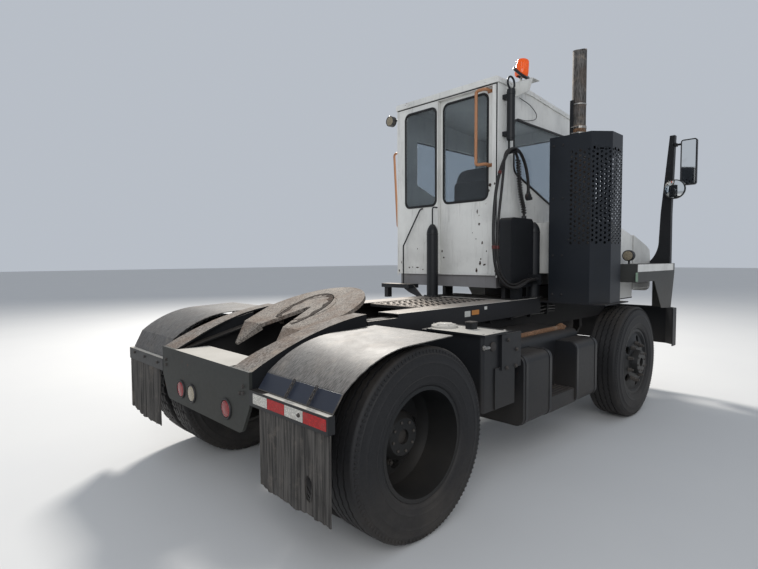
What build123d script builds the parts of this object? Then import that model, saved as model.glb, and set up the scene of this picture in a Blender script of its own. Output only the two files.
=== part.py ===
from build123d import *
import math
import os

os.makedirs("parts", exist_ok=True)

# Terminal tractor, mm. X forward, Y left, Z up, ground at Z 0.
# Lengths along X are counted from the rear axle, forward positive.
wheelbase = 2946
seat_gap = 0.3
pin_gap = 0.05

# Wheels
tyre_r = 504
tyre_half_w = 140
bead_r = 286
flange_r = 298
rim_wall = 9
rear_outer_y = 1058
rear_inner_y = 722
front_y = 1074
spindle_r = 40
hand_holes = 5
hand_hole_r = 34

# Frame
rail_y = 432
rail_flange = 75
rail_wall = 9
rail_top = 1050
rail_rear = -632
rear_bottom = 714
front_bottom = 790
ramp_in = 375
ramp_out = 565
ramp_t = 12
ramp_rear_z = 882
ramp_rise = 232
ramp_front_x = 165
rail_slope_end = 114
rail_deep_x = 326
rail_step_x = 556
beam_t = 18
lamp_out = 12
deck_y = 500
deck_t = 8
deck_z = 1082

# Fifth wheel and boom
tilt = 18
pitch_x = 180
pitch_z = 1035
pitch_pin_r = 25
plate_top = 96
plate_t = 25
plate_r = 457
plate_half_w = 430
king_pin_r = 25.4
boom_pin_x = 1210
boom_pin_z = 905
boom_pin_r = 30
boom_arm_y = 230
boom_arm_w = 80
rod_pin_x = 430
base_pin_x = 520
base_pin_z = 470
cylinder_y = 135
barrel_r = 45
rod_r = 24
eye_r = 34
eye_pin_r = 18
open_eye_play = 3

# Cab
cab_length = 1600
cab_right = -320
cab_left = 915
cab_floor = 1300
cab_skirt = 70
wall_t = 40
roof_z = 3022
roof_drop = 90
roof_level = 560
roof_t = 56
roof_lip = 12
door_t = 30
door_gap = 6
door_right = -275
door_left = 378
glass_t = 5

# Front end
cab_nose = 654
nose = 1184
bumper_depth = 92
bumper_y = 1200
bumper_low = 510
bumper_high = 915
king_y = 850
king_r = 20
hood_y = 930
hood_bottom = 1090
hood_rear_z = 1690
hood_front_z = 1440
hinge_r = 10
fender_top_z = 1395
fender_outer = 1160
fender_depth = 170
muffler_ahead = -246
muffler_y = -740
muffler_r = 125
platform_z = 1050
guard_top_z = 2560

# Places that follow from these
axle_z = tyre_r
front_axle_x = wheelbase
rail_front = front_axle_x + nose
bumper_front = rail_front + bumper_depth
rear_axle_x = -(bumper_front + rail_rear - beam_t - lamp_out) / 2
ramp_front_z = ramp_rear_z + ramp_rise
rod_pin_z = boom_pin_z
cab_front = front_axle_x + cab_nose
cab_rear = cab_front - cab_length
roof_bend_x = cab_rear + roof_level
roof_front_z = roof_z - roof_drop
roof_slope = roof_drop / (cab_front - roof_bend_x)
cab_base_z = cab_floor - cab_skirt
cab_mid_y = (cab_left + cab_right) / 2
cab_w = cab_left - cab_right
deck_front = cab_rear + 470
hood_rear = cab_front + 8
hood_front = rail_front - 5
hinge_x = hood_front - 40
hinge_z = hood_bottom + 20
muffler_x = front_axle_x + muffler_ahead
guard_rear = muffler_x - muffler_r - 95
guard_front = muffler_x + muffler_r + 175
guard_inner = muffler_y + muffler_r + 45
guard_outer = muffler_y - muffler_r - 215


def ahead(distance):
    """Frame x of a point this far ahead of the rear axle."""
    return rear_axle_x + distance


def side_face(y):
    """Plane square to Y, from which positive amounts go towards -Y."""
    return Plane.XZ.offset(-y)


# Frame rails
rail_points = [
    (ahead(rail_rear), rear_bottom),
    (ahead(rail_rear), ramp_rear_z - ramp_t),
    (ahead(rail_slope_end), rail_top),
    (ahead(rail_front), rail_top),
    (ahead(rail_front), front_bottom),
    (ahead(rail_step_x), front_bottom),
    (ahead(rail_deep_x), rear_bottom),
]
with BuildPart() as frame_rails:
    with BuildSketch(side_face(rail_y)):
        with BuildLine():
            Polyline(*rail_points, close=True)
        make_face()
    extrude(amount=rail_flange)
    with BuildSketch(side_face(rail_y - rail_wall)):
        with BuildLine():
            Polyline(*rail_points, close=True)
        make_face()
        offset(amount=-rail_wall, kind=Kind.INTERSECTION)
    extrude(amount=rail_flange, mode=Mode.SUBTRACT)
    mirror(about=Plane.XZ)
frame_rails.part.label = "frame_rails"
export_step(frame_rails.part, "parts/frame_rails.step")

# Ramps that guide a trailer up to the fifth wheel: a bowed top on two walls
ramp_foot = 85
ramp_in_front = plate_half_w + 15
wall_end_x = -40
with BuildPart() as rear_ramps:
    with BuildSketch(side_face(ramp_out)):
        with BuildLine():
            bow = ThreePointArc(
                (ahead(rail_rear), ramp_rear_z),
                (ahead((rail_rear + ramp_front_x) / 2), ramp_rear_z + 0.68 * ramp_rise),
                (ahead(ramp_front_x), ramp_front_z),
            )
            ramp_nose = Line(bow @ 1, bow @ 1 - (0, ramp_t))
            under = ThreePointArc(
                ramp_nose @ 1,
                (ahead((rail_rear + ramp_front_x) / 2), ramp_rear_z + 0.68 * ramp_rise - ramp_t),
                bow @ 0 - (0, ramp_t),
            )
            Line(under @ 1, bow @ 0)
        make_face()
    extrude(amount=ramp_out - ramp_in)
    # The top's inner edge keeps clear of the fifth-wheel plate
    with BuildSketch(Plane.XY.offset(rear_bottom)):
        with BuildLine():
            Polyline(
                (ahead(rail_rear + 100), ramp_in), (ahead(-100), ramp_in_front),
                (ahead(ramp_front_x), ramp_in_front), (ahead(ramp_front_x), ramp_in), close=True,
            )
        make_face()
    extrude(amount=ramp_front_z - rear_bottom, mode=Mode.SUBTRACT)
    # Outer wall down to the frame's foot, inner wall on the rail
    for y, low in ((ramp_out, rear_bottom), (rail_y + ramp_t, ramp_rear_z - ramp_foot)):
        with BuildSketch(side_face(y)):
            with BuildLine():
                roof_line = ThreePointArc(
                    (ahead(rail_rear), ramp_rear_z - ramp_t),
                    (ahead((rail_rear + ramp_front_x) / 2), ramp_rear_z + 0.68 * ramp_rise - ramp_t),
                    (ahead(ramp_front_x), ramp_front_z - ramp_t),
                )
                Polyline(
                    roof_line @ 1, (ahead(ramp_front_x), rail_top - ramp_foot),
                    (ahead(rail_rear / 2), low + 66), (ahead(rail_rear), low), roof_line @ 0,
                )
            make_face()
        extrude(amount=ramp_t)
    # The inner wall ends short of the fifth wheel's plate
    with Locations((ahead((wall_end_x + ramp_front_x) / 2), (rail_y + ramp_in_front) / 2, ramp_rear_z)):
        Box(ramp_front_x - wall_end_x, ramp_in_front - rail_y, 2 * ramp_rise + 2 * ramp_foot, mode=Mode.SUBTRACT)
    # Front end plate
    with BuildSketch(Plane.YZ.offset(ahead(ramp_front_x - ramp_t))):
        with Locations(((ramp_out + ramp_in_front) / 2, (ramp_front_z - ramp_t + rail_top - ramp_foot) / 2)):
            Rectangle(ramp_out - ramp_in_front, ramp_front_z - ramp_t - rail_top + ramp_foot)
    extrude(amount=ramp_t)
    mirror(about=Plane.XZ)
rear_ramps.part.label = "rear_ramps"
export_step(rear_ramps.part, "parts/rear_ramps.step")

# Rear end plate with its skirt, and the level plate between the ramps
lamp_z = 645
lamp_r = 50
lamp_places = [(271, lamp_z), (-319, lamp_z), (118, lamp_z)]
skirt_low = 545
skirt_half = 480
with BuildPart() as rear_beam:
    with BuildSketch(Plane.YZ.offset(ahead(rail_rear - beam_t))) as beam_face:
        with BuildLine():
            Polyline(
                (-ramp_out, ramp_rear_z), (ramp_out, ramp_rear_z),
                (ramp_out, rear_bottom - 14), (skirt_half, skirt_low),
                (-skirt_half, skirt_low), (-ramp_out, rear_bottom - 14), close=True,
            )
        make_face()
        fillet(beam_face.vertices().group_by(Axis.Y)[0], radius=60)
        with Locations(*lamp_places):
            Circle(lamp_r, mode=Mode.SUBTRACT)
        with Locations((-505, 765), (-505, 800), (-470, 760), (505, 765), (505, 800)):
            Circle(9, mode=Mode.SUBTRACT)
    extrude(amount=beam_t)
    with Locations((ahead(rail_rear + 101), 0, ramp_rear_z - ramp_t)):
        Box(202, 2 * (rail_y - rail_flange - 1), ramp_t)
rear_beam.part.label = "rear_beam"
export_step(rear_beam.part, "parts/rear_beam.step")

with BuildPart() as tail_lamps:
    with BuildSketch(Plane.YZ.offset(ahead(rail_rear - beam_t - lamp_out))):
        with Locations(*lamp_places):
            Circle(lamp_r - seat_gap)
    extrude(amount=2 * lamp_out)
    fillet(tail_lamps.edges().group_by(Axis.X)[0], radius=5)
tail_lamps.part.label = "tail_lamps"
export_step(tail_lamps.part, "parts/tail_lamps.step")

# Crossmembers fit inside the rail channels
inside_y = rail_y - rail_wall
cross_low = front_bottom + 15
cross_high = rail_top - 15
cab_mount_z = cab_floor - 10
with BuildPart() as crossmembers:
    for x, length, z0, z1 in (
        (rail_rear + 72, 60, rear_bottom + 16, ramp_rear_z - 27),
        (boom_pin_x + 120, 40, cross_low, cross_high),
        (cab_rear + 150, 60, cross_low, cross_high),
        (rail_front - 170, 60, cross_low, cross_high),
    ):
        with Locations((ahead(x), 0, (z0 + z1) / 2)):
            Box(length, 2 * inside_y, z1 - z0)
    # Brackets and fixed pin of the boom's pivot
    with BuildSketch(side_face(inside_y)):
        with Locations((ahead(boom_pin_x), boom_pin_z)):
            Circle(boom_pin_r)
    extrude(amount=2 * inside_y)
    for side in (1, -1):
        with BuildSketch(side_face(side * (boom_arm_y + 115) + 10)):
            with BuildLine():
                Polyline(
                    (ahead(boom_pin_x - 60), boom_pin_z - 65),
                    (ahead(boom_pin_x - 60), boom_pin_z + 65),
                    (ahead(boom_pin_x + 110), rail_top - 20),
                    (ahead(boom_pin_x + 110), front_bottom + 20),
                    close=True,
                )
            make_face()
        extrude(amount=20)
    # Bar that the hood tilts about
    with BuildSketch(side_face(rail_y)):
        with Locations((ahead(hinge_x), hinge_z)):
            Circle(hinge_r)
    extrude(amount=2 * rail_y)
    for side in (1, -1):
        with BuildSketch(side_face(side * (rail_y - 5) + 5)):
            with BuildLine():
                Polyline(
                    (ahead(hinge_x - 14), hinge_z + 14), (ahead(hinge_x + 14), hinge_z + 14),
                    (ahead(hinge_x + 14), hinge_z - 5), (ahead(hinge_x - 8), hinge_z - 35),
                    (ahead(hinge_x - 8), rail_top), (ahead(hinge_x - 50), rail_top), close=True,
                )
            make_face()
        extrude(amount=10)
crossmembers.part.label = "crossmembers"
export_step(crossmembers.part, "parts/crossmembers.step")

# Hanger that carries the lift cylinders' lower pins
hanger_t = 12
ear_t = 12
with BuildPart() as cylinder_hanger:
    with BuildSketch(side_face(rail_y + hanger_t)):
        with BuildLine():
            Polyline(
                (ahead(base_pin_x + 50), rail_top - 90),
                (ahead(base_pin_x + 180), rail_top - 90),
                (ahead(base_pin_x + 180), front_bottom - 30),
                (ahead(base_pin_x + 70), base_pin_z - 90),
                (ahead(base_pin_x - 70), base_pin_z - 90),
                (ahead(base_pin_x - 70), base_pin_z + 30),
                close=True,
            )
        make_face()
    extrude(amount=hanger_t)
    mirror(about=Plane.XZ)
    with Locations((ahead(base_pin_x), 0, base_pin_z - 65)):
        Box(100, 2 * rail_y, 50)
    for side in (1, -1):
        for edge in (eye_r + 8, -eye_r - 8 + ear_t):
            with BuildSketch(side_face(side * cylinder_y + edge)):
                with Locations((ahead(base_pin_x), base_pin_z - 20)):
                    Rectangle(70, 90)
            extrude(amount=ear_t)
        with BuildSketch(side_face(side * cylinder_y + eye_r + 8)):
            with Locations((ahead(base_pin_x), base_pin_z)):
                Circle(eye_pin_r)
        extrude(amount=2 * (eye_r + 8))
cylinder_hanger.part.label = "cylinder_hanger"
export_step(cylinder_hanger.part, "parts/cylinder_hanger.step")

# Deck plate with a window for the grating and a gap for the boom
grating_rear = 1010
grating_front = cab_rear - 40
grating_y = 300
edge_t = 8
edge_drop = 134
deck_rear = 520
step_top = 1197
step_in = 610
step_out = 1002
deck_side_rear = ramp_front_x + 71
side_step = 18
with BuildPart() as deck:
    with BuildSketch(Plane.XY.offset(deck_z - deck_t)):
        with Locations((ahead((deck_rear + deck_front) / 2), 0)):
            Rectangle(deck_front - deck_rear, 2 * deck_y)
        with Locations((ahead((deck_rear + grating_front) / 2), 0)):
            Rectangle(grating_front - deck_rear + 20, 2 * grating_y, mode=Mode.SUBTRACT)
    extrude(amount=deck_t)
    # Side plates run on to the ramps, a step lower and with a narrow flange
    with BuildSketch(side_face(deck_y)):
        with BuildLine():
            Polyline(
                (ahead(deck_side_rear), deck_z - deck_t - edge_drop), (ahead(deck_front), deck_z - deck_t - edge_drop),
                (ahead(deck_front), deck_z - deck_t), (ahead(deck_rear), deck_z - deck_t),
                (ahead(deck_rear), deck_z - deck_t - side_step),
                (ahead(deck_side_rear), deck_z - deck_t - side_step), close=True,
            )
        make_face()
    extrude(amount=edge_t)
    with BuildSketch(Plane.XY.offset(deck_z - deck_t - side_step)):
        with Locations((ahead((deck_side_rear + deck_rear) / 2), deck_y - edge_t)):
            Rectangle(deck_rear - deck_side_rear, 2 * edge_t)
    extrude(amount=-edge_t)
    mirror(about=Plane.XZ)
    for side in (1, -1):
        with Locations((ahead(deck_side_rear + 60), side * (deck_y + rail_y - edge_t) / 2, rail_top - 60)):
            Box(50, deck_y - rail_y - edge_t, 60)
    for x in (deck_rear + 80, (deck_rear + deck_front) / 2, deck_front - 120):
        for side in (1, -1):
            with Locations((ahead(x), side * (deck_y + rail_y - 30) / 2, (rail_top + deck_z - deck_t) / 2)):
                Box(50, deck_y - rail_y + 30, deck_z - deck_t - rail_top)
    # Platform under the exhaust guard
    with BuildSketch(Plane.XY.offset(platform_z - 10)):
        with Locations((ahead((guard_rear + cab_front) / 2), (guard_outer - 20 - rail_y) / 2)):
            Rectangle(cab_front + 10 - guard_rear, -rail_y - guard_outer + 20)
        with Locations((ahead(cab_front - 290), guard_outer + 65)):
            Rectangle(600, 180, mode=Mode.SUBTRACT)
    extrude(amount=10)
    # Step tray behind the cab's left corner, on an arm from the side plate
    with Locations((ahead(cab_rear - 90), (step_in + step_out) / 2, step_top - 20)):
        Box(150, step_out - step_in, 40)
    with Locations((ahead(cab_rear - 90), step_out - 25, step_top - 94)):
        Box(60, 50, 108)
    with BuildSketch(Plane.YZ.offset(ahead(cab_rear - 95))):
        with BuildLine():
            Polyline(
                (deck_y - 4, deck_z - 30), (deck_y - 4, deck_z), (step_in + 4, step_top - 6),
                (step_in + 150, step_top - 36), (step_in + 60, deck_z + 30), close=True,
            )
        make_face()
    extrude(amount=10)
deck.part.label = "deck"
export_step(deck.part, "parts/deck.step")

with BuildPart() as deck_grating:
    with BuildSketch(Plane.XY.offset(rail_top)) as grating_frame:
        with Locations((ahead((grating_rear + grating_front) / 2), 0)):
            Rectangle(grating_front - grating_rear, 2 * grating_y + 200)
            Rectangle(grating_front - grating_rear - 30, 2 * grating_y - 30, mode=Mode.SUBTRACT)
    extrude(amount=deck_z - deck_t - rail_top)
    with Locations((ahead((grating_rear + grating_front) / 2), 0, deck_z - 14)):
        with GridLocations((grating_front - grating_rear - 76) / 23, 1, 24, 1):
            Box(8, 2 * grating_y - 20, 12)
        with GridLocations(1, 145, 1, 4):
            Box(grating_front - grating_rear - 20, 8, 12)
deck_grating.part.label = "deck_grating"
export_step(deck_grating.part, "parts/deck_grating.step")

# Rear fenders, one rolled sheet each; the left one sits higher
fender_sheet = 5
fender_in = ramp_out + 35
fender_out = 1200
fender_end_x = 205
fender_z = 1046
bar_high = 795
bar_low = 715
fender_foot_z = bar_high + 4
fender_foot_x = -620
strip_rise = 80
strip_lean = 60
left_lift = 38
with BuildPart() as rear_fenders:
    for side, lift in ((-1, 0), (1, left_lift)):
        with BuildSketch(side_face(side * fender_in)):
            with BuildLine():
                # Upper skin: leaning strip, rolled rear, nearly level top
                strip = Line(
                    (ahead(fender_foot_x), fender_foot_z),
                    (ahead(fender_foot_x + strip_lean), fender_foot_z + strip_rise + lift),
                )
                roll = ThreePointArc(
                    strip @ 1,
                    (ahead(fender_foot_x + 220), fender_z - 71 + lift),
                    (ahead(fender_foot_x + 500), fender_z - 11 + lift),
                )
                Line(roll @ 1, (ahead(fender_end_x), fender_z + lift))
                offset(amount=fender_sheet, side=Side.RIGHT)
            make_face()
        extrude(amount=-side * (fender_out - fender_in))
        # Stays from the ramp's wall
        for x in (-90, fender_end_x - 75):
            with Locations((
                ahead(x), side * (ramp_out + fender_in + 20) / 2, fender_z + lift - fender_sheet - 17,
            )):
                Box(40, fender_in + 20 - ramp_out, 14)
rear_fenders.part.label = "rear_fenders"
export_step(rear_fenders.part, "parts/rear_fenders.step")

with BuildPart() as flap_bars:
    with BuildSketch(side_face(fender_out + 6)):
        with Locations((ahead(rail_rear), (bar_low + bar_high) / 2)):
            Rectangle(40, bar_high - bar_low)
    extrude(amount=fender_out + 6 - ramp_out)
    mirror(about=Plane.XZ)
flap_bars.part.label = "flap_bars"
export_step(flap_bars.part, "parts/flap_bars.step")

flap_w = 560
flap_low = 307
with BuildPart() as mudflaps:
    with BuildSketch(Plane.YZ.offset(ahead(rail_rear - 13))):
        with Locations((930, (bar_low + flap_low) / 2)):
            Rectangle(flap_w, bar_low - flap_low)
    extrude(amount=10)
    mirror(about=Plane.XZ)
mudflaps.part.label = "mudflaps"
export_step(mudflaps.part, "parts/mudflaps.step")

# Axles: the rear housing is bolted to the rails through two pads
tube_r = 75
bowl_r = 190
pinion_x = 330
with BuildPart() as axles:
    with BuildSketch(Plane.XY.offset(axle_z)):
        with BuildLine():
            Polyline(
                (ahead(0), -1010), (ahead(spindle_r), -1010), (ahead(spindle_r), -640),
                (ahead(tube_r), -560), (ahead(tube_r), -230),
            )
            ThreePointArc((ahead(tube_r), -230), (ahead(bowl_r), 0), (ahead(tube_r), 230))
            Polyline(
                (ahead(tube_r), 230), (ahead(tube_r), 560), (ahead(spindle_r), 640),
                (ahead(spindle_r), 1010), (ahead(0), 1010), (ahead(0), -1010),
            )
        make_face()
    revolve(axis=Axis((ahead(0), 0, axle_z), (0, 1, 0)))
    with BuildSketch(Plane.YZ.offset(ahead(120))):
        with Locations((0, axle_z)):
            Circle(110)
    with BuildSketch(Plane.YZ.offset(ahead(pinion_x))):
        with Locations((0, axle_z)):
            Circle(55)
    loft()
    for side in (1, -1):
        with Locations((ahead(0), side * 395, (axle_z + 50 + rear_bottom) / 2)):
            Box(200, 70, rear_bottom - axle_z - 50)
    # Front axle beam with king pins at its ends
    with Locations((ahead(front_axle_x), 0, axle_z - 59)):
        Box(110, 2 * (king_y - 210), 90)
    for side in (1, -1):
        with BuildSketch(Plane.YZ.offset(ahead(front_axle_x - 50))):
            with BuildLine():
                Polyline(
                    (side * (king_y - 250), axle_z - 104), (side * (king_y - 250), axle_z - 14),
                    (side * king_y, axle_z + 50), (side * king_y, axle_z - 50), close=True,
                )
            make_face()
        extrude(amount=100)
        with BuildSketch(Plane.XY.offset(axle_z - 60)):
            with Locations((ahead(front_axle_x), side * king_y)):
                Circle(50)
        extrude(amount=120)
        with BuildSketch(Plane.XY.offset(axle_z - 105)):
            with Locations((ahead(front_axle_x), side * king_y)):
                Circle(king_r)
        extrude(amount=210)
axles.part.label = "axles"
export_step(axles.part, "parts/axles.step")

gearbox_rear = front_axle_x - 716
shaft_rise = 130
shaft_run = gearbox_rear - pinion_x
shaft_plane = Plane(
    origin=(ahead(pinion_x), 0, axle_z), x_dir=(0, 1, 0), z_dir=(shaft_run, 0, shaft_rise)
)
with BuildPart() as drive_shaft:
    with BuildSketch(shaft_plane.offset(8)):
        Circle(42)
    extrude(amount=math.hypot(shaft_run, shaft_rise) - 16)
    with BuildSketch(Plane.YZ.offset(ahead(pinion_x))):
        with Locations((0, axle_z)):
            Circle(50)
    extrude(amount=24)
    with BuildSketch(Plane.YZ.offset(ahead(gearbox_rear))):
        with Locations((0, axle_z + shaft_rise)):
            Circle(55)
    extrude(amount=-24)
drive_shaft.part.label = "drive_shaft"
export_step(drive_shaft.part, "parts/drive_shaft.step")

spring_half = 560
spring_end_z = 720
spring_seat_z = axle_z + 46
with BuildPart() as front_springs:
    with BuildSketch(side_face(rail_y)):
        with BuildLine():
            upper_leaf = ThreePointArc(
                (ahead(front_axle_x - spring_half), spring_end_z),
                (ahead(front_axle_x), spring_seat_z),
                (ahead(front_axle_x + spring_half), spring_end_z),
            )
            Line(upper_leaf @ 1, upper_leaf @ 1 - (0, 20))
            ThreePointArc(
                upper_leaf @ 1 - (0, 20), (ahead(front_axle_x), axle_z - 14), upper_leaf @ 0 - (0, 20)
            )
            Line(upper_leaf @ 0 - (0, 20), upper_leaf @ 0)
        make_face()
    extrude(amount=70)
    for end in (5 - spring_half, spring_half - 5):
        with Locations((ahead(front_axle_x + end), rail_y - 35, (front_bottom + spring_end_z - 20) / 2)):
            Box(60, 70, front_bottom - spring_end_z + 20)
    mirror(about=Plane.XZ)
front_springs.part.label = "front_springs"
export_step(front_springs.part, "parts/front_springs.step")

# Engine and gearbox as one plain block
with BuildPart() as engine:
    with Locations((ahead(front_axle_x + 254), 0, 905)):
        Box(900, 620, 530)
    with Locations((ahead(gearbox_rear + 260), 0, 800)):
        Box(520, 400, 400)
    for x in (front_axle_x + 4, front_axle_x + 554):
        with Locations((ahead(x), 0, front_bottom + 80)):
            Box(80, 2 * inside_y, 50)
engine.part.label = "engine"
export_step(engine.part, "parts/engine.step")

with BuildPart() as front_bumper:
    with BuildSketch(Plane.XY.offset(bumper_low)) as bumper_plan:
        with BuildLine():
            Polyline(
                (ahead(bumper_front), 0), (ahead(bumper_front), bumper_y - 120),
                (ahead(bumper_front - 90), bumper_y), (ahead(rail_front - 110), bumper_y),
                (ahead(rail_front - 110), bumper_y - 10), (ahead(rail_front - 5), bumper_y - 10),
                (ahead(bumper_front - 12), bumper_y - 126), (ahead(bumper_front - 12), rail_y + 8),
                (ahead(rail_front), rail_y + 8), (ahead(rail_front), 0), close=True,
            )
        make_face()
        mirror(about=Plane.XZ)
    extrude(amount=bumper_high - bumper_low)
front_bumper.part.label = "front_bumper"
export_step(front_bumper.part, "parts/front_bumper.step")

# Front fenders stand on the bumper and beside the hood
fender_rear = front_axle_x + 84
fender_front = hood_front + 25
fender_t = 6
fender_in_y = hood_y + 20
leg_foot_y = fender_outer - 100
with BuildPart() as front_fenders:
    with BuildSketch(side_face(fender_outer + fender_t)):
        with BuildLine():
            Polyline(
                (ahead(fender_rear), fender_top_z), (ahead(fender_front), fender_top_z),
                (ahead(fender_front), fender_top_z - 100), (ahead(fender_front - 100), bumper_high + 5),
                (ahead(fender_front - 410), bumper_high + 25),
                (ahead(fender_front - 640), fender_top_z - fender_depth),
                (ahead(fender_rear), fender_top_z - fender_depth), close=True,
            )
        make_face()
    extrude(amount=fender_t)
    with BuildSketch(Plane.XY.offset(fender_top_z)):
        with Locations((ahead((fender_rear + fender_front) / 2), (fender_in_y + fender_outer) / 2)):
            Rectangle(fender_front - fender_rear, fender_outer - fender_in_y)
    extrude(amount=-fender_t)
    # Rear end wall
    with BuildSketch(Plane.YZ.offset(ahead(fender_rear))):
        with Locations(((fender_in_y + fender_outer) / 2, fender_top_z - fender_depth / 2)):
            Rectangle(fender_outer - fender_in_y, fender_depth)
    extrude(amount=fender_t)
    # Front wall, narrower where it stands on the bumper
    with BuildSketch(Plane.YZ.offset(ahead(fender_front - fender_t))):
        with BuildLine():
            Polyline(
                (fender_in_y, fender_top_z), (fender_outer, fender_top_z),
                (fender_outer, fender_top_z - 100), (leg_foot_y, bumper_high), (fender_in_y, bumper_high),
                close=True,
            )
        make_face()
    extrude(amount=fender_t)
    mirror(about=Plane.XZ)
front_fenders.part.label = "front_fenders"
export_step(front_fenders.part, "parts/front_fenders.step")

# Mirrors on tapered posts that flare at the foot
post_x = hood_front - 105
post_top_z = 2740
mirror_y = 1310
round_mirror_y = 1196
round_mirror_z = 2170
post_out = 1140
post_knee_z = 1930
with BuildPart() as mirror_posts:
    with BuildSketch(Plane.YZ.offset(ahead(post_x))):
        with BuildLine():
            outer_side = Polyline(
                (post_out + 16, fender_top_z), (post_out + 14, post_knee_z), (post_out + 35, post_top_z),
                (post_out - 13, post_top_z), (post_out - 85, post_knee_z), (post_out - 98, post_knee_z - 310),
            )
            flare = ThreePointArc(
                outer_side @ 1, (post_out - 128, post_knee_z - 432), (fender_in_y + 5, fender_top_z + 20),
            )
            Polyline(flare @ 1, (fender_in_y + 5, fender_top_z), outer_side @ 0)
        make_face()
    extrude(amount=60)
    with BuildSketch(side_face(post_out)):
        with Locations((ahead(post_x + 30), post_top_z - 100), (ahead(post_x + 30), post_top_z - 490)):
            Circle(11)
    extrude(amount=post_out - mirror_y + 10)
    mirror(about=Plane.XZ)
mirror_posts.part.label = "mirror_posts"
export_step(mirror_posts.part, "parts/mirror_posts.step")

with BuildPart() as mirrors:
    with BuildSketch(Plane.YZ.offset(ahead(post_x - 11))) as mirror_face:
        with Locations((mirror_y, post_top_z - 300)):
            RectangleRounded(150, 470, 25)
    extrude(amount=30)
    with BuildSketch(Plane.YZ.offset(ahead(post_x - 45))):
        with Locations((round_mirror_y, round_mirror_z)):
            Circle(100)
    extrude(amount=25)
    with BuildSketch(Plane.YZ.offset(ahead(post_x - 20))):
        with Locations((round_mirror_y, round_mirror_z)):
            Circle(14)
    extrude(amount=26)
    with BuildSketch(side_face(post_out)):
        with Locations((ahead(post_x - 12), round_mirror_z)):
            Circle(12)
    extrude(amount=post_out - round_mirror_y - 14)
    mirror(about=Plane.XZ)
mirrors.part.label = "mirrors"
export_step(mirrors.part, "parts/mirrors.step")

# Cab base on four feet
sill_low = 1185
sill_in = 25
sill_t = 5
with BuildPart() as cab_base:
    with Locations((ahead((cab_rear + cab_front) / 2), cab_mid_y, (cab_floor + cab_base_z) / 2)):
        Box(cab_length - 2 * sill_in, cab_w - 2 * sill_in, cab_skirt)
    with Locations((ahead((cab_rear + cab_front) / 2), cab_mid_y, cab_base_z + (cab_skirt - 10) / 2)):
        Box(cab_length - 60, cab_w - 60, cab_skirt - 10, mode=Mode.SUBTRACT)
    for y in (rail_y - 37, cab_right + 20):
        with Locations((ahead(cab_rear + 200), y, (deck_z + cab_mount_z) / 2)):
            Box(120, 40, cab_mount_z - deck_z)
        with Locations((ahead(cab_front - 80), y, (cab_base_z + cab_mount_z) / 2)):
            Box(60, 40, cab_mount_z - cab_base_z)
    with Locations((ahead(cab_front - 80), 0, cab_base_z - 17)):
        Box(60, 2 * rail_y, 34)
    for y in (rail_y - 30, 30 - rail_y):
        with Locations((ahead(cab_front - 80), y, (rail_top + cab_base_z - 34) / 2)):
            Box(60, 60, cab_base_z - 34 - rail_top)
    # Sill plates, set in below the cab's rear and sides
    with BuildSketch(Plane.XY.offset(sill_low)):
        with Locations((ahead((cab_rear + cab_front) / 2), cab_mid_y)):
            Rectangle(cab_length - 2 * sill_in, cab_w - 2 * sill_in)
            Rectangle(cab_length - 2 * sill_in - 2 * sill_t, cab_w - 2 * sill_in - 2 * sill_t,
                      mode=Mode.SUBTRACT)
        with Locations((ahead(cab_front - 5 - sill_in), cab_mid_y)):
            Rectangle(60, cab_w - 2 * sill_in - 2 * sill_t, mode=Mode.SUBTRACT)
    extrude(amount=cab_base_z - sill_low)
cab_base.part.label = "cab_base"
export_step(cab_base.part, "parts/cab_base.step")

# Rear wall with the door's opening and one window
jamb = 13
window_at = (592, roof_z - 552)
window_size = (405, 960)
window_r = 55
track_t = 8
with BuildPart() as cab_rear_wall:
    with BuildSketch(Plane.YZ.offset(ahead(cab_rear))) as rear_wall_face:
        with Locations((cab_mid_y, (cab_floor + roof_z) / 2)):
            Rectangle(cab_w, roof_z - cab_floor)
        with Locations(((door_right + door_left) / 2, (cab_floor + 10 + roof_z - 15) / 2)):
            Rectangle(door_left - door_right - 2 * jamb, roof_z - cab_floor - 25, mode=Mode.SUBTRACT)
        with Locations(window_at):
            RectangleRounded(*window_size, window_r, mode=Mode.SUBTRACT)
    extrude(amount=wall_t)
    # Track strip that the sliding door rubs on
    with Locations((
        ahead(cab_rear + wall_t + (door_gap - seat_gap) / 2),
        (door_right + cab_left - wall_t) / 2, roof_z - 11,
    )):
        Box(door_gap - seat_gap, cab_left - wall_t - door_right - 4, track_t)
cab_rear_wall.part.label = "cab_rear_wall"
export_step(cab_rear_wall.part, "parts/cab_rear_wall.step")

window_rear = cab_rear + 270
window_front = cab_front - 160
window_top = roof_z - 277
side_window = [
    (ahead(window_rear), window_top), (ahead(window_front), window_top),
    (ahead(window_front), cab_floor + 545), (ahead(window_rear), window_top - 480),
]
with BuildPart() as cab_sides:
    with BuildSketch(side_face(cab_left)) as side_wall_face:
        with BuildLine():
            Polyline(
                (ahead(cab_rear + wall_t), cab_floor), (ahead(cab_rear + wall_t), roof_z),
                (ahead(roof_bend_x), roof_z), (ahead(cab_front), roof_front_z),
                (ahead(cab_front), cab_floor), close=True,
            )
        make_face()
        with BuildLine():
            Polyline(*side_window, close=True)
        make_face(mode=Mode.SUBTRACT)
    extrude(amount=wall_t)
    mirror(about=side_face(cab_mid_y))
cab_sides.part.label = "cab_sides"
export_step(cab_sides.part, "parts/cab_sides.step")

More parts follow.
